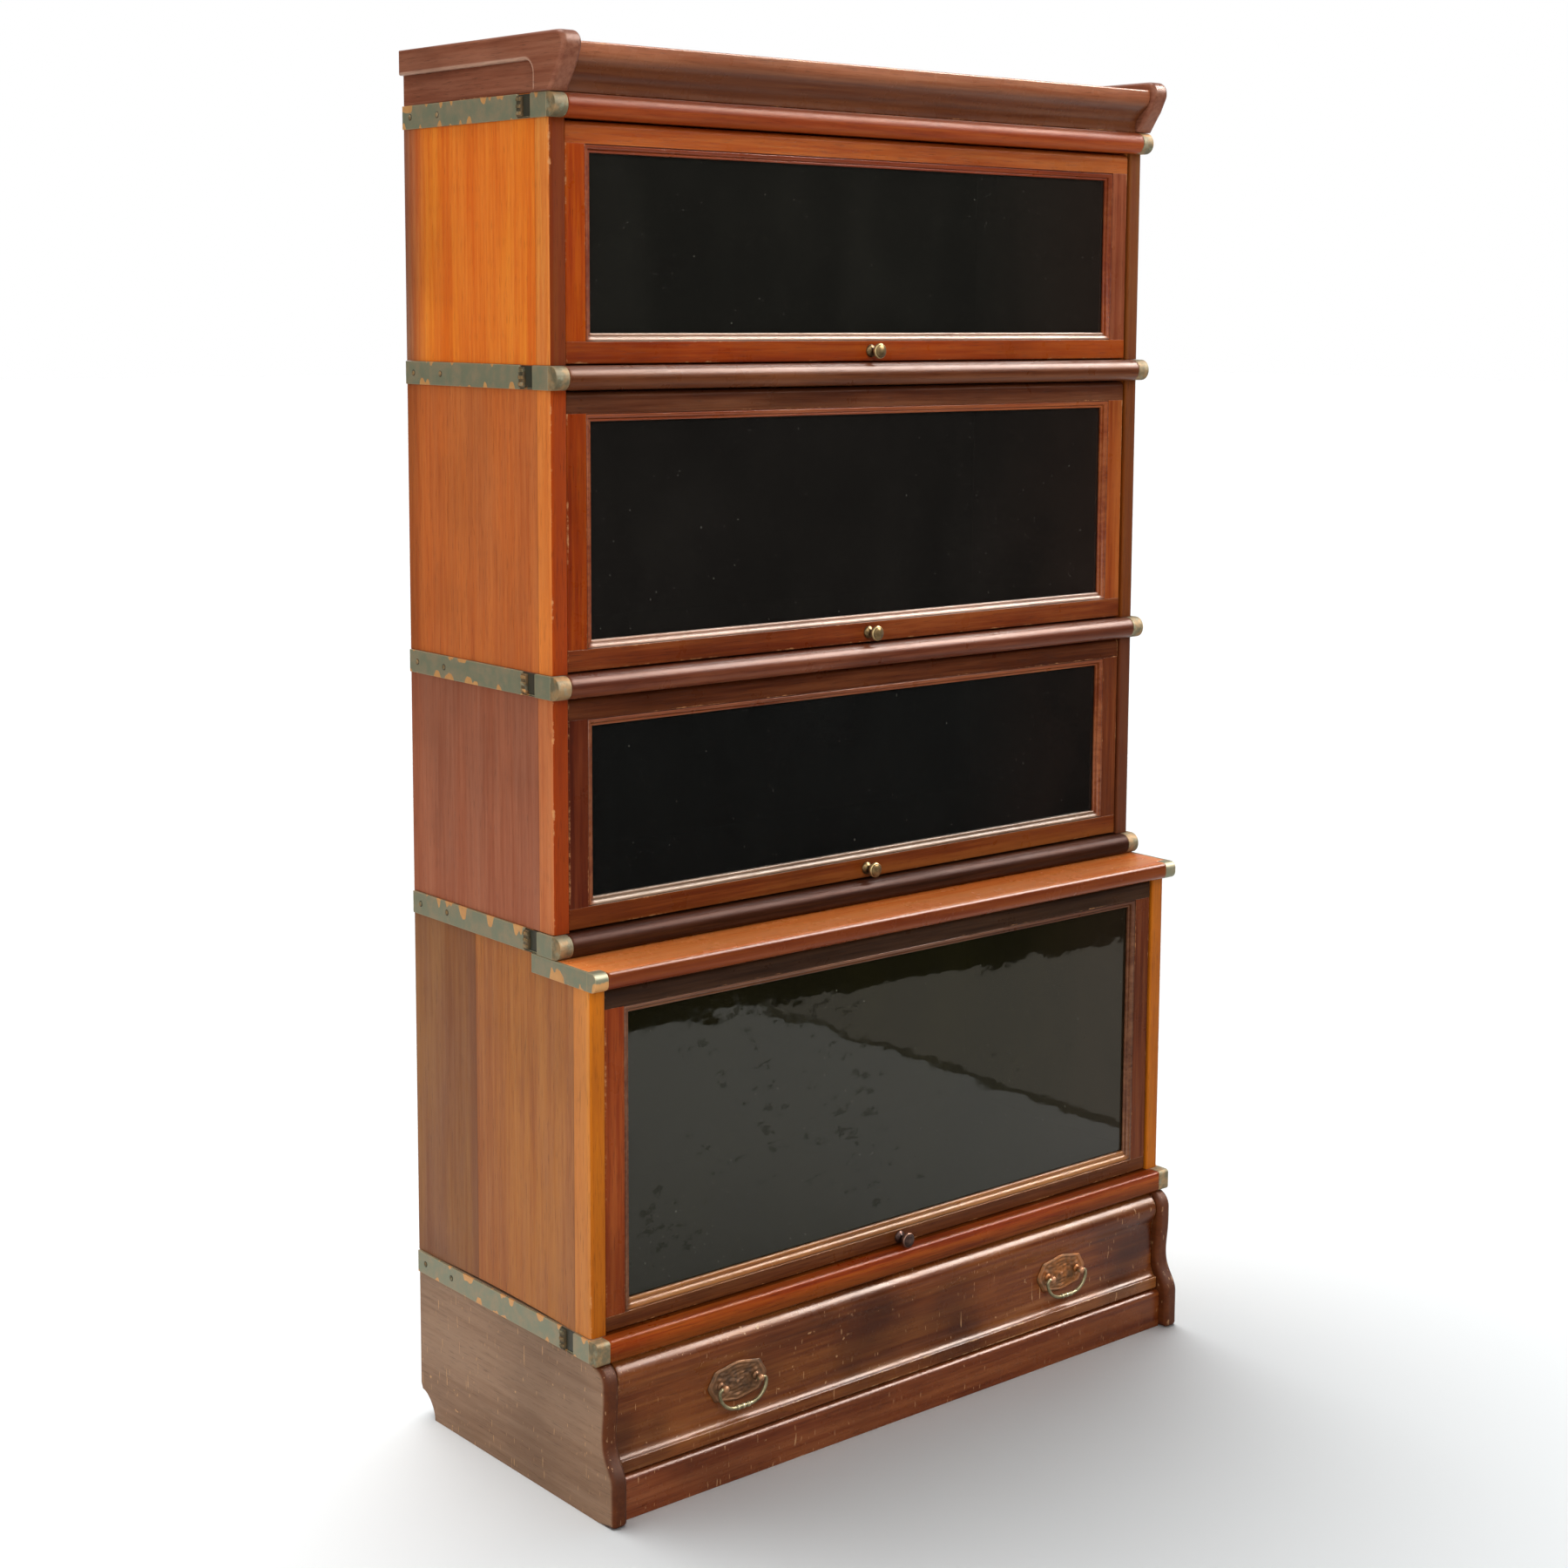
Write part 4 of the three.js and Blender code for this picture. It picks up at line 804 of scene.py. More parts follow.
# %% [markdown]
# ## The ends
# Each end is an upright board, glued up from strips with the grain standing. The front strip is a
# lighter lipping, and on some the rear strip is darker. The frame's boards have the right shape, so
# they stay, and each gets its own stain. The top section has the brightest orange.

# %% Stain the ends of the sections
def dress(node_name, material):
    """Gives a solid of the frame a better material in place of its plain one."""
    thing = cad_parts[node_name]
    thing.data.materials.clear()
    thing.data.materials.append(material)


stains = {1: (200, 101, 30), 2: (166, 88, 42), 3: (144, 83, 57), 4: (151, 91, 50)}
end_strips = {
    1: [(-30, (0.34, 0.66, 4.6)), (20, (2.95, 1.63, 0.24), 28), (250, (0.94, 1.2, 2.4))],
    2: [(-30, (0.7, 0.72, 0.76)), (20, (1.43, 1.39, 1.31), 24), (250, (1.33, 1.4, 1.05))],
    3: [(248, (1.6, 1.5, 1.0))],
    4: [(0, (0.62, 0.73, 1.05)), (124, (1.52, 1.35, 0.98)), (308, (1.65, 1.6, 1.15))],
}
mottles = {1: (1.05, 1.14, 0.9), 2: (1.12, 1.06, 0.85), 3: (0.88, 0.93, 1.0), 4: (1.14, 1.14, 0.85)}
front_faces = {
    "left": {1: (0.29, 0.14, 0.04), 2: (0.55, 0.25, 0.01), 3: (0.6, 0.25, 0.02), 4: (0.88, 0.66, 0.12)},
    "right": {1: (0.31, 0.25, 0.18), 2: (0.3, 0.26, 0.13), 3: (0.27, 0.22, 0.2), 4: (0.8, 0.62, 0.16)},
}
for number, (_, _, depth) in sections.items():
    bolder = {"contrast": 0.75, "streaks": 0.4} if number == 1 else {"contrast": 0.55, "streaks": 0.3}
    for side, seed in (("left", number * 3.1), ("right", number * 4.7 + 1)):
        stained = wood(f"end_{number}_{side}", stains[number], "z", seed, strips=end_strips[number],
                       mottle=mottles[number], front=front_faces[side][number],
                       edge_line=(case_half - 1.5, depth - 1.5), rough=0.45, gloss=0.1, **bolder)
        dress(f"section_{number}_end_{side}", stained)
print("ends stained")

# %% [markdown]
# Shelves, backs and the drawer's box are plain wood that was only oiled. Nobody polished them, so
# they are dull, and they are seen from behind and with a door or the drawer open.

# %% Dress the plain boards, the steel rods and the panes
plain = {0: (104, 72, 50), 1: (118, 80, 53), 2: (136, 94, 64), 3: (112, 74, 48), 4: (126, 87, 60)}
pane_depths = {1: (26, 25, 22), 2: (24, 22, 20), 3: (18, 18, 17), 4: (21, 19, 8)}
rod_steel = metal("rod_steel", (110, 106, 100), (84, 78, 70), (150, 146, 140), 2, metallic=0.9, rough=0.4)


def back_wood(name, tone, seed):
    return wood(name, tone, "x", seed, rough=0.66, gloss=0.15, blotch=0.45)


for number in sections:
    shelf_wood = wood(f"shelf_{number}", plain[number], "x", number * 2.3, rough=0.6, gloss=0.2)
    glass = pane_glass(f"pane_{number}", number * 1.7, 0.14, pane_depths[number], 1.0 if number == 4 else 0.0)
    dress(f"section_{number}_shelf", shelf_wood)
    dress(f"section_{number}_back", back_wood(f"back_{number}", plain[number], number * 5.9))
    dress(f"section_{number}_pivot_rod", rod_steel)
    dress(f"section_{number}_glass", glass)
dress("base_back", back_wood("back_base", plain[0], 31))
dress("drawer_box", wood("drawer_box", (148, 108, 72), "y", 8, rough=0.62, gloss=0.2))
print("plain boards, rods and panes dressed")

# %% [markdown]
# ## Nosings
# A rounded rail closes the joint in front of each shelf. It was run on the spindle as one length and
# polished all over, so a soft highlight lies along its top, and its upper part has a lighter second
# tone, painted light. The outline is a square back and two front corners, rounded until they nearly
# meet. A tongue behind it is let in between the ends.

# %% Make the nosings and the step board
rail_half, inside_half, tongue = cap_inner - play, inner_half - play, 28.0
polished = {"wear_amount": 0.35, "relief": 0.12}
# Each nosing's second tone is lighter: painted light on its upper part.
nosing_woods = {
    1: wood("nosing_1", (148, 63, 21), "x", 11, (148, 76, 42), rough=0.4, gloss=0.11, **polished),
    2: wood("nosing_2", (92, 46, 22), "x", 12, (120, 68, 44), rough=0.3, gloss=0.15, **polished),
    3: wood("nosing_3", (96, 46, 26), "x", 13, (118, 62, 38), rough=0.3, gloss=0.15, **polished),
    4: wood("nosing_4", (56, 28, 12), "x", 14, (84, 44, 28), rough=0.36, gloss=0.05, **polished),
    0: wood("nosing_base", (92, 34, 4), "x", 15, (142, 54, 9), contrast=1.4, rough=0.3, gloss=0.1,
            wear_amount=0.9, relief=0.12),
}
# The step's bright tone is partly painted light on its top, which the sections above would shade; its darker
# second tone is painted shade on the front rounding.
step_wood = wood("step_board", (232, 130, 62), "x", 16, (108, 44, 11), contrast=0.8, rough=0.27, gloss=0.2,
                 wear_amount=0.35, blotch=0.08, relief=0.08)


def nosing_shells(depth, top, radius, lit_from, lit_run):
    """The rail in front of the case and its tongue. The second tone, painted light, lies on the upper
    part: it begins lit_from above the rail's middle and is full lit_run higher."""
    low = top - nosing_height
    shape = box_outline(depth + play, depth + nosing_reach, low, top, (0.4, 0.6, radius, radius))
    rail = carried(shape, (-rail_half, rail_half))
    lit = np.clip((rail["points"][:, 2] - (low + top) / 2 - lit_from) / lit_run, 0, 1)
    web = box_outline(depth - tongue, depth + 2, low + hair, top - hair)
    return [toned(rail, lit), carried(web, (-inside_half, inside_half))]


for number, top in tops.items():
    shells = nosing_shells(upper_depth, top, 12.1, 1, 6)
    make(f"nosing_{number}", shells, nosing_woods[number], "cabinet", f"section_{number}_nosing")

step_high = tops[4] - nosing_height
step_low, step_front = step_high - step_thickness + play, lower_depth + nosing_reach
tread_shape = box_outline(step_back + play, step_front, step_low, step_high, (0.4, 0.4, 5.0, 8.0))
tread = carried(tread_shape, (-rail_half, rail_half))
_, forward, rise = tread["points"].T
# Painted shade: the second tone on the front rounding below the top edge.
front_shade = np.clip((step_high - 0.05 - rise) / 1.1, 0, 1) * (forward > lower_depth + 2)
over_end_shape = box_outline(step_back + play, lower_depth, step_low, step_high)
over_end = [carried(over_end_shape, (-case_half, 0.6 - rail_half))]
make("step_board", [toned(tread, front_shade), *on_side(over_end, "right"), *over_end],
     step_wood, "cabinet")
make("nosing_of_base", nosing_shells(lower_depth, base_height, 4.0, -2, 5), nosing_woods[0], "cabinet",
     "base_nosing")
print("nosings made")

# %% [markdown]
# ## Metal bands
# A strip of metal runs along each joint, over both ends, and caps the nosing's end grain. Near the
# front it has a slot with a ridged bar beside it, where the unit above hooks on, and two round pins
# near the back. The slot can't be cut out of a carried outline, so the strip is put together from
# plates round it, with a floor behind whose near-black colour is painted shade.

# %% Make the bands
slot_back, slot_length, bar_length = 28.0, 14.0, 9.0  # first how far behind the case's front the slot begins
pin_places = (18.0, 72.0)  # in front of the case's back
pin_head = np.array([(3.5, 0.0), (3.4, 0.16), (2.7, 0.2), (2.5, 0.6),
                     (2.2, 0.95), (1.6, 1.2), (0.8, 1.35), (0.05, 1.4)])
# The pin's foot is marked below 0: painted shade.
pin_wear_and_shade = [-0.9, -1.0, -1.0, -0.4, 0.6, 1.0, 1.0, 0.9]


def band_shells(depth, low, high, radius, lower=None):
    """The plates, slot, bar, ridges, pins and cap of one band on the left side. lower=(low, high) adds
    the deep section's run along the step board."""
    slot_front = depth - slot_back
    bar_front = slot_front - slot_length
    bar_rear = bar_front - bar_length
    strip = (-band_outer, -band_inner)

    def plate(rear, front, bottom, top, span=strip, ends=0.5, corner=0.5, radii=None):
        shape = box_outline(rear, front, bottom, top, radii or (corner,) * 4, guard=1.2)
        return carried(shape, span, ease_ends=ends, guard=0.8)

    def cap(front, bottom, top, radius):
        shape = box_outline(front + play, front + nosing_reach, bottom, top, (0.4, 0.4, radius, radius))
        return carried(shape, (-band_outer, -cap_inner), guard=1.0)

    # The slot's floor and the bar are marked below 0, so painted shade darkens them.
    slot_floor = plate(bar_rear - 1, slot_front + 1, low + 1, high - 0.6, (-band_inner - 0.9, -band_inner), 0.2)
    shells = [
        plate(2.0, bar_rear + 0.4, low, high),
        plate(slot_front, depth + 0.6, low, high, radii=(0.5, 2.0, 0.4, 0.4)),
        plate(bar_rear - 1, slot_front + 1, low + hair, low + 2.0, (hair - band_outer, -band_inner)),
        {**slot_floor, "wear": np.full(len(slot_floor["wear"]), -1.0)},
    ]
    bar = plate(bar_rear, bar_front, low + 2.0, high - 2.0, (-band_outer - 1.2, -band_inner - 0.5), 0.8, 1.2)
    shells.append(toned({**bar, "wear": np.full(len(bar["wear"]), -0.6)}, 1.0))
    pitch = (high - low - 4.0) / 3
    for start in low + 2.0 + pitch * (np.arange(3) + 0.25):
        ridge_span = (-band_outer - 2.2, -band_outer)
        ridge = plate(bar_rear + 0.3, bar_front - 0.3, start, start + pitch / 2, ridge_span, 0.6, 0.8)
        shells.append(toned(ridge, 1.0))
    for place in pin_places:
        pin = turned(pin_head * [1, -1], (-band_outer + 0.1, place, (low + high) / 2), "x", 20, pin_wear_and_shade)
        shells.append(toned(pin, 1.0))
    shells.append(toned(cap(depth, low, high, radius), 0.75))
    if lower:
        shells += [plate(step_back, lower_depth + 0.6, *lower), cap(lower_depth, *lower, 8.0)]
    return shells


bands = [(f"band_{n}", f"section_{n}_band", upper_depth, top, 12.1, (n + 0.3, n + 5.1))
         for n, top in tops.items()]
bands.append(("band_of_base", "base_band", lower_depth, base_height, 4.0, (9.4, 12.2)))
for name, node_name, depth, high, radius, seeds in bands:
    low = high - nosing_height
    lower = (step_low - play, step_high) if name == "band_4" else None
    shells = band_shells(depth, low + (play if lower else 0), high, radius, lower)
    for side, seed in zip(("left", "right"), seeds):
        make(f"{name}_{side}", on_side(shells, side), band_metal(f"{name}_{side}", seed), "cabinet",
             f"{node_name}_{side}", (lower[0] if lower else low, high))
print("bands made")

# %% [markdown]
# ## Door frames
# A door is two rails that run over two stiles, with a moulded bead mitred round the glass. Rails and
# stiles are separate pieces here too, so that the grain turns at the joint as it does in the wood.

# %% The sections of a door's frame and bead
bead_width, bead_depth = 8.5, 8.0
lip_over = {4: 3.5}  # how far the lower bead of the deep door laps over its glass


def frame_section(face, edge, sight, front_radius):
    """Corners (forward, across) of a rail or stile, from its outer edge round to the side of the glass:
    a square outside, steps for the bead and the glass in front, and a small chamfer behind."""
    out = 1 if edge > sight else -1
    rear, seat = face - 20.0, face - bead_depth
    behind_glass = seat - 3.6
    bead_edge, glass_edge = sight + out * bead_width, sight + out * 7
    return [(rear, edge, 1.5), (face, edge, front_radius), (face, bead_edge, 0.4), (seat, bead_edge, 0.4),
            (seat, glass_edge, 0.4), (behind_glass, glass_edge, 0.4), (behind_glass, sight, 0.5),
            (rear + 4, sight, 0.5), (rear, sight + out * 4, 0.5)]


def bead_ring(number):
    """The bead as one mitred ring: a rectangle for each point of its section, so that point k lies
    `inset` beyond the glass opening and `sunk` behind the frame's face. Each rectangle has two more
    points 2 mm inside its bottom corners, between which the lower bead takes its paler second tone,
    a painted highlight."""
    _, _, sight_low, sight_high = door_heights(number)
    hollow, lip = np.linspace(0, np.pi / 2, 9), np.linspace(0, np.pi / 2 + 0.5, 7)
    hollow_from, hollow_to = bead_width - 1.2, 3.1
    inset = np.concatenate([bead_width + np.array([1, 0.2, 0, -0.25, -1.0]),
                            hollow_to + (hollow_from - hollow_to) * (1 - np.sin(hollow)), [2.9],
                            1.5 + 1.5 * np.cos(lip + 0.5), [0.0, 0.0, bead_width + 1]])
    sunk = np.concatenate([[1.0, 0.0, 0.3, 1.5, 1.5], 0.3 + (bead_depth - 3.6) * (1 - np.cos(hollow)), [5.2],
                           5.6 - 1.5 * np.sin(lip + 0.5), [6.6, bead_depth, bead_depth]])
    # Marks round the bead's section: -1 paints shade into the quirks, above 0 the edges are rubbed paler.
    wear = np.concatenate([[0, 0.3, 0, -1, -1], np.linspace(0.9, 0.1, len(hollow)) * 0.45, [-1],
                           np.full(len(lip), 0.4), [0, 0, 0]])
    low_inset = inset - lip_over.get(number, 0) * np.clip(bead_width - inset, 0, None) / bead_width
    side = np.array([-1, -1, 1, 1, 1, -1])
    upper, lit = np.array([[0, 0, 0, 0, 1, 1], [0, 1, 1, 0, 0, 0]], bool)
    x = side * (sight_half + np.where(lit, -2.0, inset[:, None]))
    up_down = np.where(upper, sight_high + inset[:, None], sight_low - low_inset[:, None])
    forward = np.broadcast_to((door_face[number] - sunk)[:, None], x.shape)
    points = np.stack([x, forward, up_down], -1)
    faces = grid_faces(len(inset) + 1, 6) % (len(inset) * 6)  # the last row joins the first again
    return {"points": points.reshape(-1, 3), "faces": faces, "ends": [], "flat": 0,
            "wear": np.repeat(wear, 6), "second": np.tile(lit * 1.0, len(inset))}


print("door sections ready")

# %% [markdown]
# The five parts of a door ride on the door's body, so they turn with it. Each has a stain of its
# own, because its boards have darkened differently, and the upper rails of doors 2 to 4 have the
# darkest tones: painted shade under the nosing above them.

# %% Make the doors
door_parts = ("upper_rail", "stile_left", "stile_right", "lower_rail", "bead")
# Tones of upper rail, stiles, lower rail and bead; the upper rails of doors 2 to 4 are darkened as painted shade
# under the nosing.
door_stains_and_shade = {
    1: ((163, 79, 31), (160, 63, 5), (136, 67, 39), (150, 60, 13), (140, 62, 26)),
    2: ((88, 46, 26), (133, 47, 4), (147, 69, 24), (123, 56, 21), (136, 64, 28)),
    3: ((83, 39, 17), (85, 31, 11), (118, 60, 29), (112, 52, 15), (126, 64, 32)),
    4: ((47, 27, 15), (135, 57, 18), (94, 42, 18), (92, 47, 20), (104, 62, 38)),
}
# Pale tones of the lower beads: painted highlights where the bead faces up towards the light.
lower_bead_highlights = {1: (185, 145, 120), 2: (190, 150, 128), 3: (150, 122, 100), 4: (152, 94, 46)}
for number, face in door_face.items():
    low, high, sight_low, sight_high = door_heights(number)
    top_rail = outline(frame_section(face, high, sight_high, 6.0))
    low_rail = outline(frame_section(face, low, sight_low, 1.5))
    stile_corners = frame_section(face, -door_half, -sight_half, 1.5)
    stile = outline([(x, forward, radius) for forward, x, radius in stile_corners])
    stile_span = (sight_low - bead_width - 0.05, sight_high + bead_width + 0.05)
    stile_shell = carried(stile, stile_span, (0, 1, 2), 0.3, 1.0, end_wear=-0.5)
    shells = {
        "upper_rail": [carried(top_rail, (-door_half, door_half), ease_ends=1.0)],
        "lower_rail": [carried(low_rail, (-door_half, door_half), ease_ends=1.0)],
        "stile_left": [stile_shell],
        "stile_right": on_side([stile_shell], "right"),
        "bead": [bead_ring(number)],
    }
    stained = {}
    for index, (part, tone) in enumerate(zip(door_parts, door_stains_and_shade[number])):
        pale_highlight = {"second": lower_bead_highlights[number], "gloss": 0.25} if part == "bead" else {"gloss": 0.1}
        stained[part] = wood(f"door_{number}_{part}", tone, "z" if "stile" in part else "x",
                             number * 6.1 + index * 2.3, rough=0.3, blotch=0.4, **pale_highlight)
    for part, part_shells in shells.items():
        stands_for = f"section_{number}_door_frame" if part == "upper_rail" else None
        make(f"door_{number}_{part}", part_shells, stained[part], f"door_{number}", stands_for)
print("doors made")

# %% [markdown]
# ## Knobs
# Each door has one small brass knob in the middle of its lower rail, turned with a flared foot, a
# thin neck with a ring, and a flat head. A turned piece is its outline spun about its axis.

# %% Turn the knobs
knob_brass = metal("knob_brass", (118, 96, 62), (72, 54, 34), (188, 164, 116), 4, 0.85, 0.36, 120)
knob_dark = metal("knob_dark", (74, 52, 44), (48, 32, 28), (128, 96, 80), 5, 0.8, 0.36, 120)
knob_points = [
    (0.1, 0), (6.6, 0), (7.0, 0.35), (7.1, 0.9), (6.5, 2.1), (5.2, 3.1), (3.9, 3.8), (3.3, 4.8), (3.05, 6.4),
    (3.2, 7.6), (3.9, 8.3), (4.5, 8.8), (4.6, 9.4), (4.4, 10.0), (3.7, 10.6), (3.5, 11.0), (4.4, 11.6),
    (6.0, 12.2), (7.6, 13.1), (8.3, 14.2), (8.5, 15.3), (8.35, 16.2), (7.8, 17.1), (7.2, 17.4), (6.9, 17.35),
    (6.5, 17.7), (4.6, 18.4), (2.4, 18.85), (0.1, 19.0),
]
# Marks along the knob's outline: above 0 rubbed paler, below 0 painted shade in its hollows.
knob_wear_and_shade = np.interp(np.arange(len(knob_points)), [0, 2, 5, 8, 12, 14, 15, 20, 22, 24, 26, 28],
                      [-1, 0.5, 0, -0.8, 0.7, -0.6, -0.9, 1, 0.9, -0.8, 0.2, 0.5])
knob_height = {1: 12.75, 2: 12.75, 3: 12.75, 4: 9.5}
for number, (floor_up, _, _) in sections.items():
    middle = (0, door_face[number] + play, floor_up + knob_height[number])
    knob = turned(knob_points, middle, sides=36, wear=knob_wear_and_shade)
    make(f"knob_{number}", [knob], knob_dark if number == 4 else knob_brass, f"door_{number}",
         f"section_{number}_knob")
print("knobs turned")

# %% [markdown]
# ## The base
# The base's ends are sawn to an ogee at the front, and the toe rail and drawer front follow it. The
# ends were left with a dull brown finish and have been knocked for a century, so pale chips and
# scratches cover them. The drawer front is one wide moulding: a fillet and cove at the foot, a flat
# field, and a round shoulder that catches the light.

# %% Make the base's ends
foot_front, foot_height, waist_front, waist_height = 374.0, 44.0, 357.0, 91.9
belly_front, belly_height, shoulder_height = 360.0, 132.0, 168.5
cove_deep, cove_ease = 29.0, 7.0  # the cove at the rear foot
knee = waist_height - foot_height
third = (belly_height - waist_height) / 3
front_curve = np.concatenate([
    bezier((foot_front, foot_height), (foot_front, foot_height + knee * 0.37),
           (waist_front, foot_height + knee * 0.5), (waist_front, waist_height)),
    bezier((waist_front, waist_height), (waist_front, waist_height + third),
           (belly_front, belly_height - third), (belly_front, belly_height), 8)[1:],
])
rear_curve = bezier((cove_ease / 2, cove_deep), (cove_deep / 2, cove_deep),
                    (cove_deep, cove_deep / 2), (cove_deep, 0.6), 12)
end_outline = outline([
    (foot_front, 0, 5.0), front_curve, (belly_front, shoulder_height, 20.0), (lower_depth, shoulder_height, 0.4),
    (lower_depth, base_height, 0.4), (hair, base_height, 0.4), (hair, cove_deep + cove_ease, 1.0), rear_curve,
    (cove_deep, 0, 0.6), np.array([(346.0, 0.0), (350.0, 0.0)]),
])
forward, rise = end_outline["points"].T
front_share = np.clip((forward - 336.5) / 4, 0, 1)
front_share *= np.where(rise < 0.01, np.clip((forward - 348) / 14, 0, 1), 1)


def base_end(span):
    """The end board: its front edge is rounded over with a 6 mm radius, its other edges hardly at all.
    The second tone is painted shade: it darkens the rounding of the front edge and is full on the inner face."""
    shell = rounded_board(end_outline, span, 0.5 + 5.5 * front_share, 2.0)
    wear = there_and_back(np.concatenate([[0.0], edge_rub, [0.2]]))[:, None] * (0.45 + 0.55 * front_share)
    shaded = np.concatenate([[0.0], np.clip((edge_turn - 0.3) / 0.4, 0, 1), [1.0]])[:, None] * front_share
    return {**shell, "wear": wear.ravel(), "second": np.concatenate([shaded, np.ones_like(shaded)]).ravel()}


# The second tone is the darker brown of painted shade on the front rounding and the inner face.
end_brown = wood("base_end", (133, 103, 80), "y", 21, (82, 38, 14), contrast=0.45, rough=0.5, gloss=0.15,
                 chips=0.7, scratches=1.0, bare=(196, 152, 108), blotch=0.35)
runner = box_outline(8.3, 329, 34, 54, (0.5,) * 4)
left_end = [base_end((-case_half, -inner_half)), carried(runner, (-inner_half - 1, -inner_half + 12))]
for side in ("left", "right"):
    make(f"base_end_piece_{side}", on_side(left_end, side), end_brown, "cabinet",
         f"base_end_{side}")
print("base ends made")

# %% [markdown]
# The toe rail is a board with a rounded upper edge. The drawer front is one outline too, drawn with
# free curves for its cove, its swelling and its shoulder. Both are paler towards the left, and the
# top of the drawer's shoulder takes the paler tone as a painted highlight.

# %% Make the toe rail and the drawer front
knocked = {"rough": 0.28, "chips": 0.7, "bare": (196, 150, 104)}
toe_wood = wood("toe_rail", (106, 49, 18), "x", 22, (122, 62, 32), gloss=0.25, scratches=0.5,
                blotch=0.5, **knocked)
drawer_wood = wood("drawer_front", (103, 45, 11), "x", 23, (126, 70, 30), gloss=0.26, scratches=0.3,
                   blotch=0.75, relief=0.12, contrast=1.3, **knocked)


def to_left(x):
    """0 from 180 mm left of the middle, rising to 1 at 380 mm."""
    return np.clip((-x - 180) / 200, 0, 1)


toe_front, toe_height = foot_front - 12.0, 46
toe_shape = box_outline(toe_front - 20, toe_front, 0, toe_height, (0.4, 0.6, 6.0, 0.8))
toe = carried(toe_shape, (-inside_half, inside_half))
make("toe_rail", [toned(toe, to_left(toe["points"][:, 0]))], toe_wood, "cabinet",
     "base_toe_rail")

drawer_low, drawer_high, front_rear, front_face, belly_face = 48.5, 167.3, 330.5, 348.5, 355.0
fillet_front, fillet_top, round_low = 358.0, 62.5, 149.0
handle_height = fillet_top + (drawer_high - fillet_top) * 0.4055
flat_low = handle_height - 23.5
cove = bezier((fillet_front - 1.2, fillet_top + 0.3), ((fillet_front + front_face * 2) / 3, fillet_top + 1),
              (front_face, (fillet_top + flat_low) / 2), (front_face, flat_low), 16)
swell = bezier((front_face, 121), (front_face, 135), (belly_face, 135), (belly_face, round_low), 16)
shoulder = bezier((belly_face, round_low), (belly_face, 155.5), (349, 164.2), (337, drawer_high), 20)
drawer_shape = outline([
    (front_rear, drawer_low, 0.5), (fillet_front, drawer_low, 1.5), (fillet_front, fillet_top, 1.2), cove,
    np.concatenate([swell, shoulder[1:]]), (front_rear, drawer_high, 0.5),
])
drawer_shell = carried(drawer_shape, (-door_half, door_half), ease_ends=1.0)
x, forward, rise = drawer_shell["points"].T
# The paler second tone lies on the cove, towards the left, and from 153 mm up on the shoulder, where it is a
# painted highlight.
on_cove = np.clip((84 - rise) / 16, 0, 1) * (forward > front_face - 1)
paler_and_highlight = np.maximum.reduce([on_cove, 0.6 * to_left(x), np.clip((rise - 153) / 3, 0, 1)])
make("drawer_front_piece", [toned(drawer_shell, paler_and_highlight)], drawer_wood, "drawer",
     "drawer_front")
print("toe rail and drawer front made")

# %% [markdown]
# ## Drawer handles
# Each handle is a thin coppered plate stamped with a raised rim, a sunk field and a scrolled middle,
# with two posts through it that carry a drop handle with a collared grip. The plate is a surface on
# a round grid: the distance from its middle runs from 0 to the scalloped edge, and the stamping is a
# height worked out from that distance and the angle.

# %% The plate, the posts and the bail
plate_width, plate_height = 80.0, 44.0
post_spread, bail_forward, bail_drop, wire = 48.0, 11.2, 25.0, 2.0


def hump(value, middle, width):
    """A smooth rise to 1 at the middle: e to the power -((value - middle) / width)^2."""
    return np.exp(-(((value - middle) / width) ** 2))


def squared(value):
    """Cosines and sines drawn to the corners: their size to the power 0.78."""
    return np.sign(value) * np.abs(value) ** 0.78


def plate_shell(centre_x):
    """Edge: half width and half height, drawn in by 0.07 |sin 4a|, with squared corners. Height over
    the drawer: rim, sunk field, scroll waves and a raised middle, each a hump of the share s of the
    way out."""
    share = np.concatenate([np.linspace(0.004, 1, 46), [1.0]])[:, None]
    angle = np.linspace(0, 2 * np.pi, 160, endpoint=False)[None, :]
    edge = 1 - 0.07 * np.abs(np.sin(4 * angle))
    x = squared(np.cos(angle)) * edge * plate_width / 2 * share
    z = squared(np.sin(angle)) * edge * plate_height / 2 * share
    scroll = 0.35 * np.sin(9 * share * np.pi) * np.cos(6 * angle + 5 * share) * hump(share, 0.45, 0.28)
    leaf = np.cos(0.55 * np.abs(x) - 0.4 * z) * np.cos(0.5 * z + 0.25 * np.abs(x) + 0.6)
    boss = 0.9 * hump(x, 0, 9) * hump(z, 0, 7) + 0.55 * leaf * hump(x, 0, 22) * hump(z, 0, 13)
    seats = 0.9 * hump(np.abs(x), post_spread / 2, 6) * hump(z, 0, 6)
    rim = hump(share, 0.9, 0.07) + 0.55 * hump(share, 0.72, 0.1) * (1 + 0.6 * np.cos(16 * angle))
    height = np.minimum(1.0 + rim + scroll + boss + seats, 4.1)
    height[-2], height[-1] = 0.9, 0.0
    # Below 0 the mark paints shade into the sunk field; the raised parts are rubbed paler.
    wear = np.clip((height - 1.4) * 0.9, -1, 1)
    wear[-1] = 0
    return shell_of(np.stack([x + centre_x, front_face + play + height, z + handle_height], -1), wear)


post_shape = [(4.6, 2.2), (4.7, 3.2), (4.2, 4.0), (3.0, 4.8), (2.6, 6.4), (2.7, 7.6), (3.4, 8.7),
              (3.9, 10.0), (4.0, 11.3), (3.7, 12.6), (3.0, 13.7), (1.8, 14.4), (0.1, 14.6)]
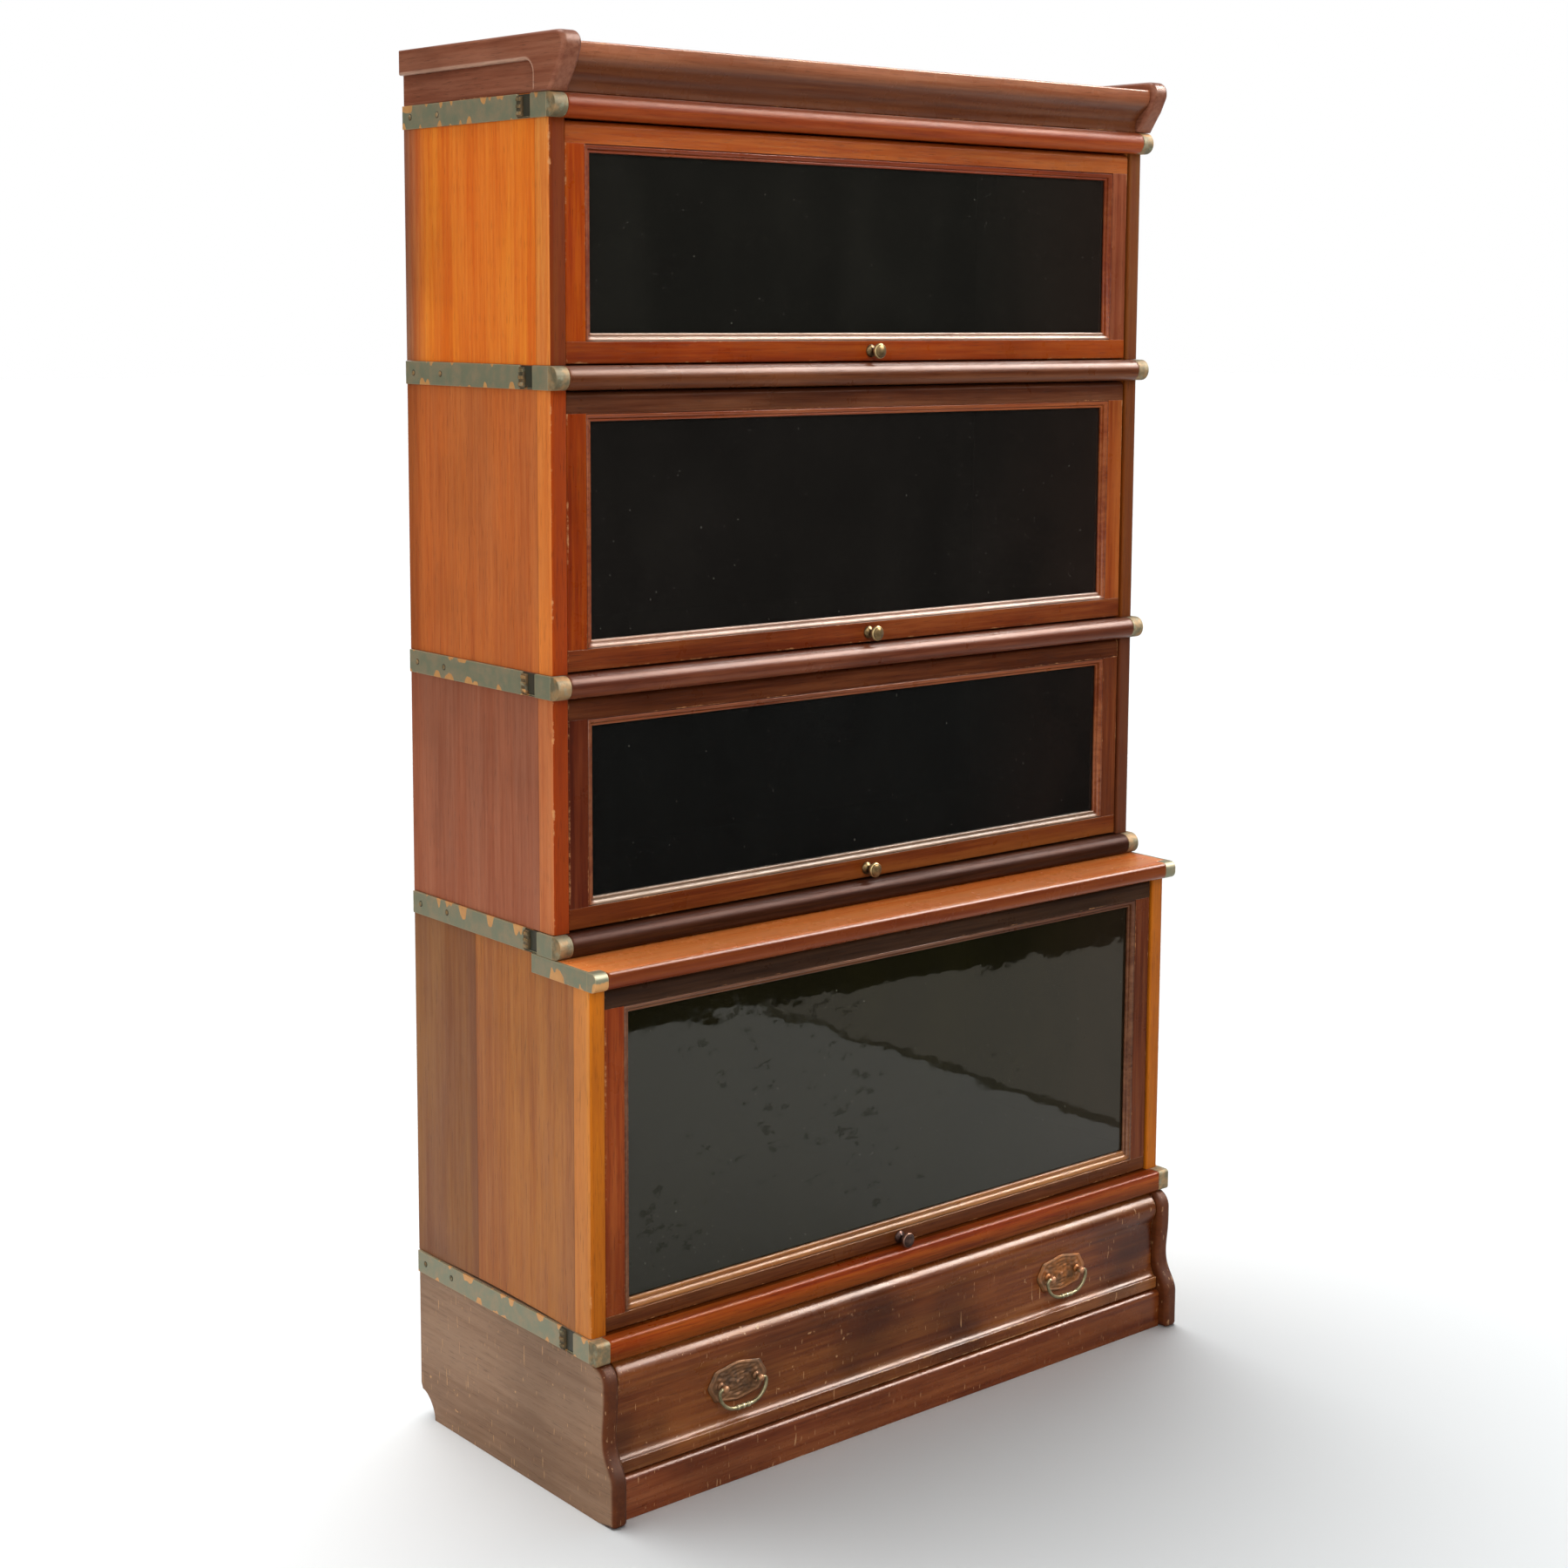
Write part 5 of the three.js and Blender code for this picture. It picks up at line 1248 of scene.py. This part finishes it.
# Marks along the post's outline: above 0 rubbed paler, below 0 painted shade in its hollows.
post_wear_and_shade = np.interp(np.arange(len(post_shape)), [0, 1, 4, 8, 12], [-0.6, 0.5, -0.8, 0.9, 0.8])


def post_shells(centre_x):
    """Two turned posts: a stem that widens to a ball, with the eye the bail runs in."""
    places = (centre_x - post_spread / 2, centre_x + post_spread / 2)
    return [turned(post_shape, (x, front_face + play, handle_height), sides=24, wear=post_wear_and_shade) for x in places]


def bail_shell(centre_x):
    """The bail: a ring of points carried along its bent centre line. The line is two straight ends,
    two cubic arms and a straight grip; at each point the ring lies in the plane of the line's side
    direction and the forward direction, and its radius grows over the grip's collars."""
    eye_x, grip = post_spread / 2 + 3.9, 8.5
    arm = bezier((-eye_x, 0), (-eye_x - 9, 0), (-eye_x - 2.25, -bail_drop), (-grip, -bail_drop), 30)
    start = np.column_stack([np.linspace(3.9 - post_spread / 2, -eye_x, 6)[:-1], np.zeros(5)])
    middle = np.column_stack([np.linspace(-grip, grip, 41)[1:], np.full(40, -bail_drop)])
    left_arm = np.concatenate([start, arm])
    line = np.concatenate([left_arm, middle, (left_arm[::-1] * [-1, 1])[1:]])
    step = np.gradient(line, axis=0)
    step /= np.maximum(np.linalg.norm(step, axis=1, keepdims=True), 1e-9)
    side = np.column_stack([-step[:, 1], step[:, 0]])
    on_grip, across = np.abs(line[:, 1] + bail_drop) < 0.01, np.abs(line[:, 0])
    collar = hump(across, 7.4, 0.7) + 0.9 * hump(across, 5.4, 0.55) + 0.9 * hump(across, 0, 1.6) + 0.5
    radius = (wire + np.where(on_grip, collar * 0.72, 0))[:, None]
    angle = np.linspace(0, 2 * np.pi, 16, endpoint=False)[None]
    sideways = radius * np.cos(angle)
    x = line[:, :1] + sideways * side[:, :1] + centre_x
    z = line[:, 1:] + sideways * side[:, 1:] + handle_height
    # Between the grip's collars the mark falls below 0: painted shade.
    wear = np.where(on_grip, np.clip((collar - 0.9) * 1.5, -0.8, 1), 0.15)[:, None]
    return shell_of(np.stack([x, front_face + bail_forward + radius * np.sin(angle), z], -1), wear)


print("handle shapes ready")

# %% [markdown]
# The plates stay on the drawer, and each bail rides on a body of its own, because it swings. The
# copper of the left plate has gone duller than that of the right one.

# %% Make the handles
coppers = {"metallic": 0.55, "rough": 0.5}
plate_coppers = {
    "left": metal("plate_copper_left", (116, 78, 46), (82, 58, 38), (156, 112, 78), 6, scale=90, **coppers),
    "right": metal("plate_copper_right", (146, 88, 38), (104, 70, 40), (172, 124, 92), 8, scale=60, **coppers),
}
bail_brass = metal("bail_brass", (142, 132, 100), (106, 98, 70), (200, 190, 158), 7, 0.7, 0.38, 90)
for side, x in (("left", -247.0), ("right", 247.0)):
    make(f"handle_plate_piece_{side}", [plate_shell(x), *post_shells(x)], plate_coppers[side], "drawer",
         f"handle_plate_{side}")
    make(f"handle_bail_piece_{side}", [bail_shell(x)], bail_brass, f"bail_{side}",
         f"handle_bail_{side}")
print("handles made")

# %% [markdown]
# ## The cornice
# The cornice is a shallow lid: two eared ends with a bullnosed front edge, an ogee moulding between
# them, and a top board. Its sides are sunk below a proud upper band that turns down at the front.

# %% Make the cornice's ends
def lifted(*points):
    """Points (forward, height, ...) from the cornice's own foot, as heights above the floor."""
    return [(point[0], cornice_floor + point[1], *point[2:]) for point in points]


def cornice_box(rear, front, low, high, radii=(0.5, 0.5, 0.5, 0.5)):
    return box_outline(rear, front, cornice_floor + low, cornice_floor + high, radii)


# The paler second tone is a painted highlight along the ears' edges by the sunk panel.
cornice_wood = wood("cornice", (125, 74, 53), "y", 24, (170, 130, 108), contrast=0.8, gloss=0.2,
                    wear_amount=0.9, blotch=0.35)
ear_inner, ear_outer, ear_height, sunk_back = 411.0, 435.0, 58.5, 0.4
core = carried(cornice_box(sunk_back, 265, 0.5, 40), (-case_half, -ear_inner - 0.2), ease_ends=0.5)
band_shape = outline(lifted(
    (254.7, 0.3, 0.5), (283, 0.3, 0.5), (300, 23, 16.0), (309, 41, 12.0), (309, ear_height, 13.0),
    (0, ear_height, 0.8), (0, 32, 1.5), (254.7, 32, 14.0)), guard=7.0)
forward, rise = band_shape["points"].T
share = np.clip((forward - 275) / 18, 0, 1)
ear = rounded_board(band_shape, (-ear_outer, -ear_inner), 2.4 + 2.6 * share, 1.5)
edge = there_and_back(np.concatenate([[0.0], edge_rub, [0.0]]))[:, None]
wear = np.maximum(edge * (0.75 + 0.25 * share), np.maximum(band_shape["worn"], 0) * 0.4)
wear[[0, -1]] = 0
out_forward, out_up = band_shape["out"].T
faces_down = (out_up < -0.5) & (rise > cornice_floor + 25) & (forward < 262)
to_panel = faces_down | ((out_forward < -0.5) & (forward > 200))  # the edges towards the sunk panel are paler
# Along these edges the second tone is a painted highlight.
pale_highlight = (np.concatenate([[0.0], np.ones(9), np.zeros(10)])[:, None] * to_panel).ravel()
shells = [core, {**ear, "wear": wear.ravel(), "second": pale_highlight}]
for side in ("left", "right"):
    make(f"cornice_end_piece_{side}", on_side(shells, side), cornice_wood, "cabinet",
         f"cornice_end_{side}")
print("cornice ends made")

# %% [markdown]
# The moulding between the ears is a single S-curve that swells towards the top, darker in its
# hollow with painted shade. A thin board and a rail at the back close the lid behind it.

# %% Make the moulding and the top
# The darker second tone is painted shade in the moulding's lower hollow.
moulding_wood = wood("cornice_moulding", (162, 98, 66), "x", 25, (96, 49, 24), contrast=0.8, rough=0.28,
                     gloss=0.26, wear_amount=0.85, blotch=0.35, relief=0.12)
between_ears = (-410.7, 410.7)
nose = bezier(*lifted((279, 5), (279, 23.25), (302, 23.25), (302, 41.5)), 22)
foot, crown = lifted((255, 0.3, 0.5), (279, 0.3, 0.8)), lifted((302, 48.5, 2.0), (255, 48.5, 0.5))
moulding = carried(outline([*foot, nose, *crown]), between_ears)
x, forward, rise = moulding["points"].T
# Painted shade: the second tone in the lower hollow of the moulding's front.
hollow_shade = np.clip((cornice_floor + 40 - rise) / 12, 0, 1) * (forward > 270)
make("cornice_moulding", [toned(moulding, hollow_shade)], moulding_wood, "cabinet", "cornice_frame")
top_board = carried(cornice_box(0, 255.2, 36.5, 48.5, (0.5, 0.8, 0.5, 0.4)), between_ears)
back_rail = carried(cornice_box(sunk_back, 16, 0.3, 40, (0.6, 0.5, 0.5, 0.6)), between_ears)
make("cornice_top", [top_board, back_rail], cornice_wood, "cabinet")
print("cornice made")

# %% [markdown]
# ## Finish
# The colours are shown with the Standard view transform.

# %% Finish
scene.view_settings.view_transform = "Standard"
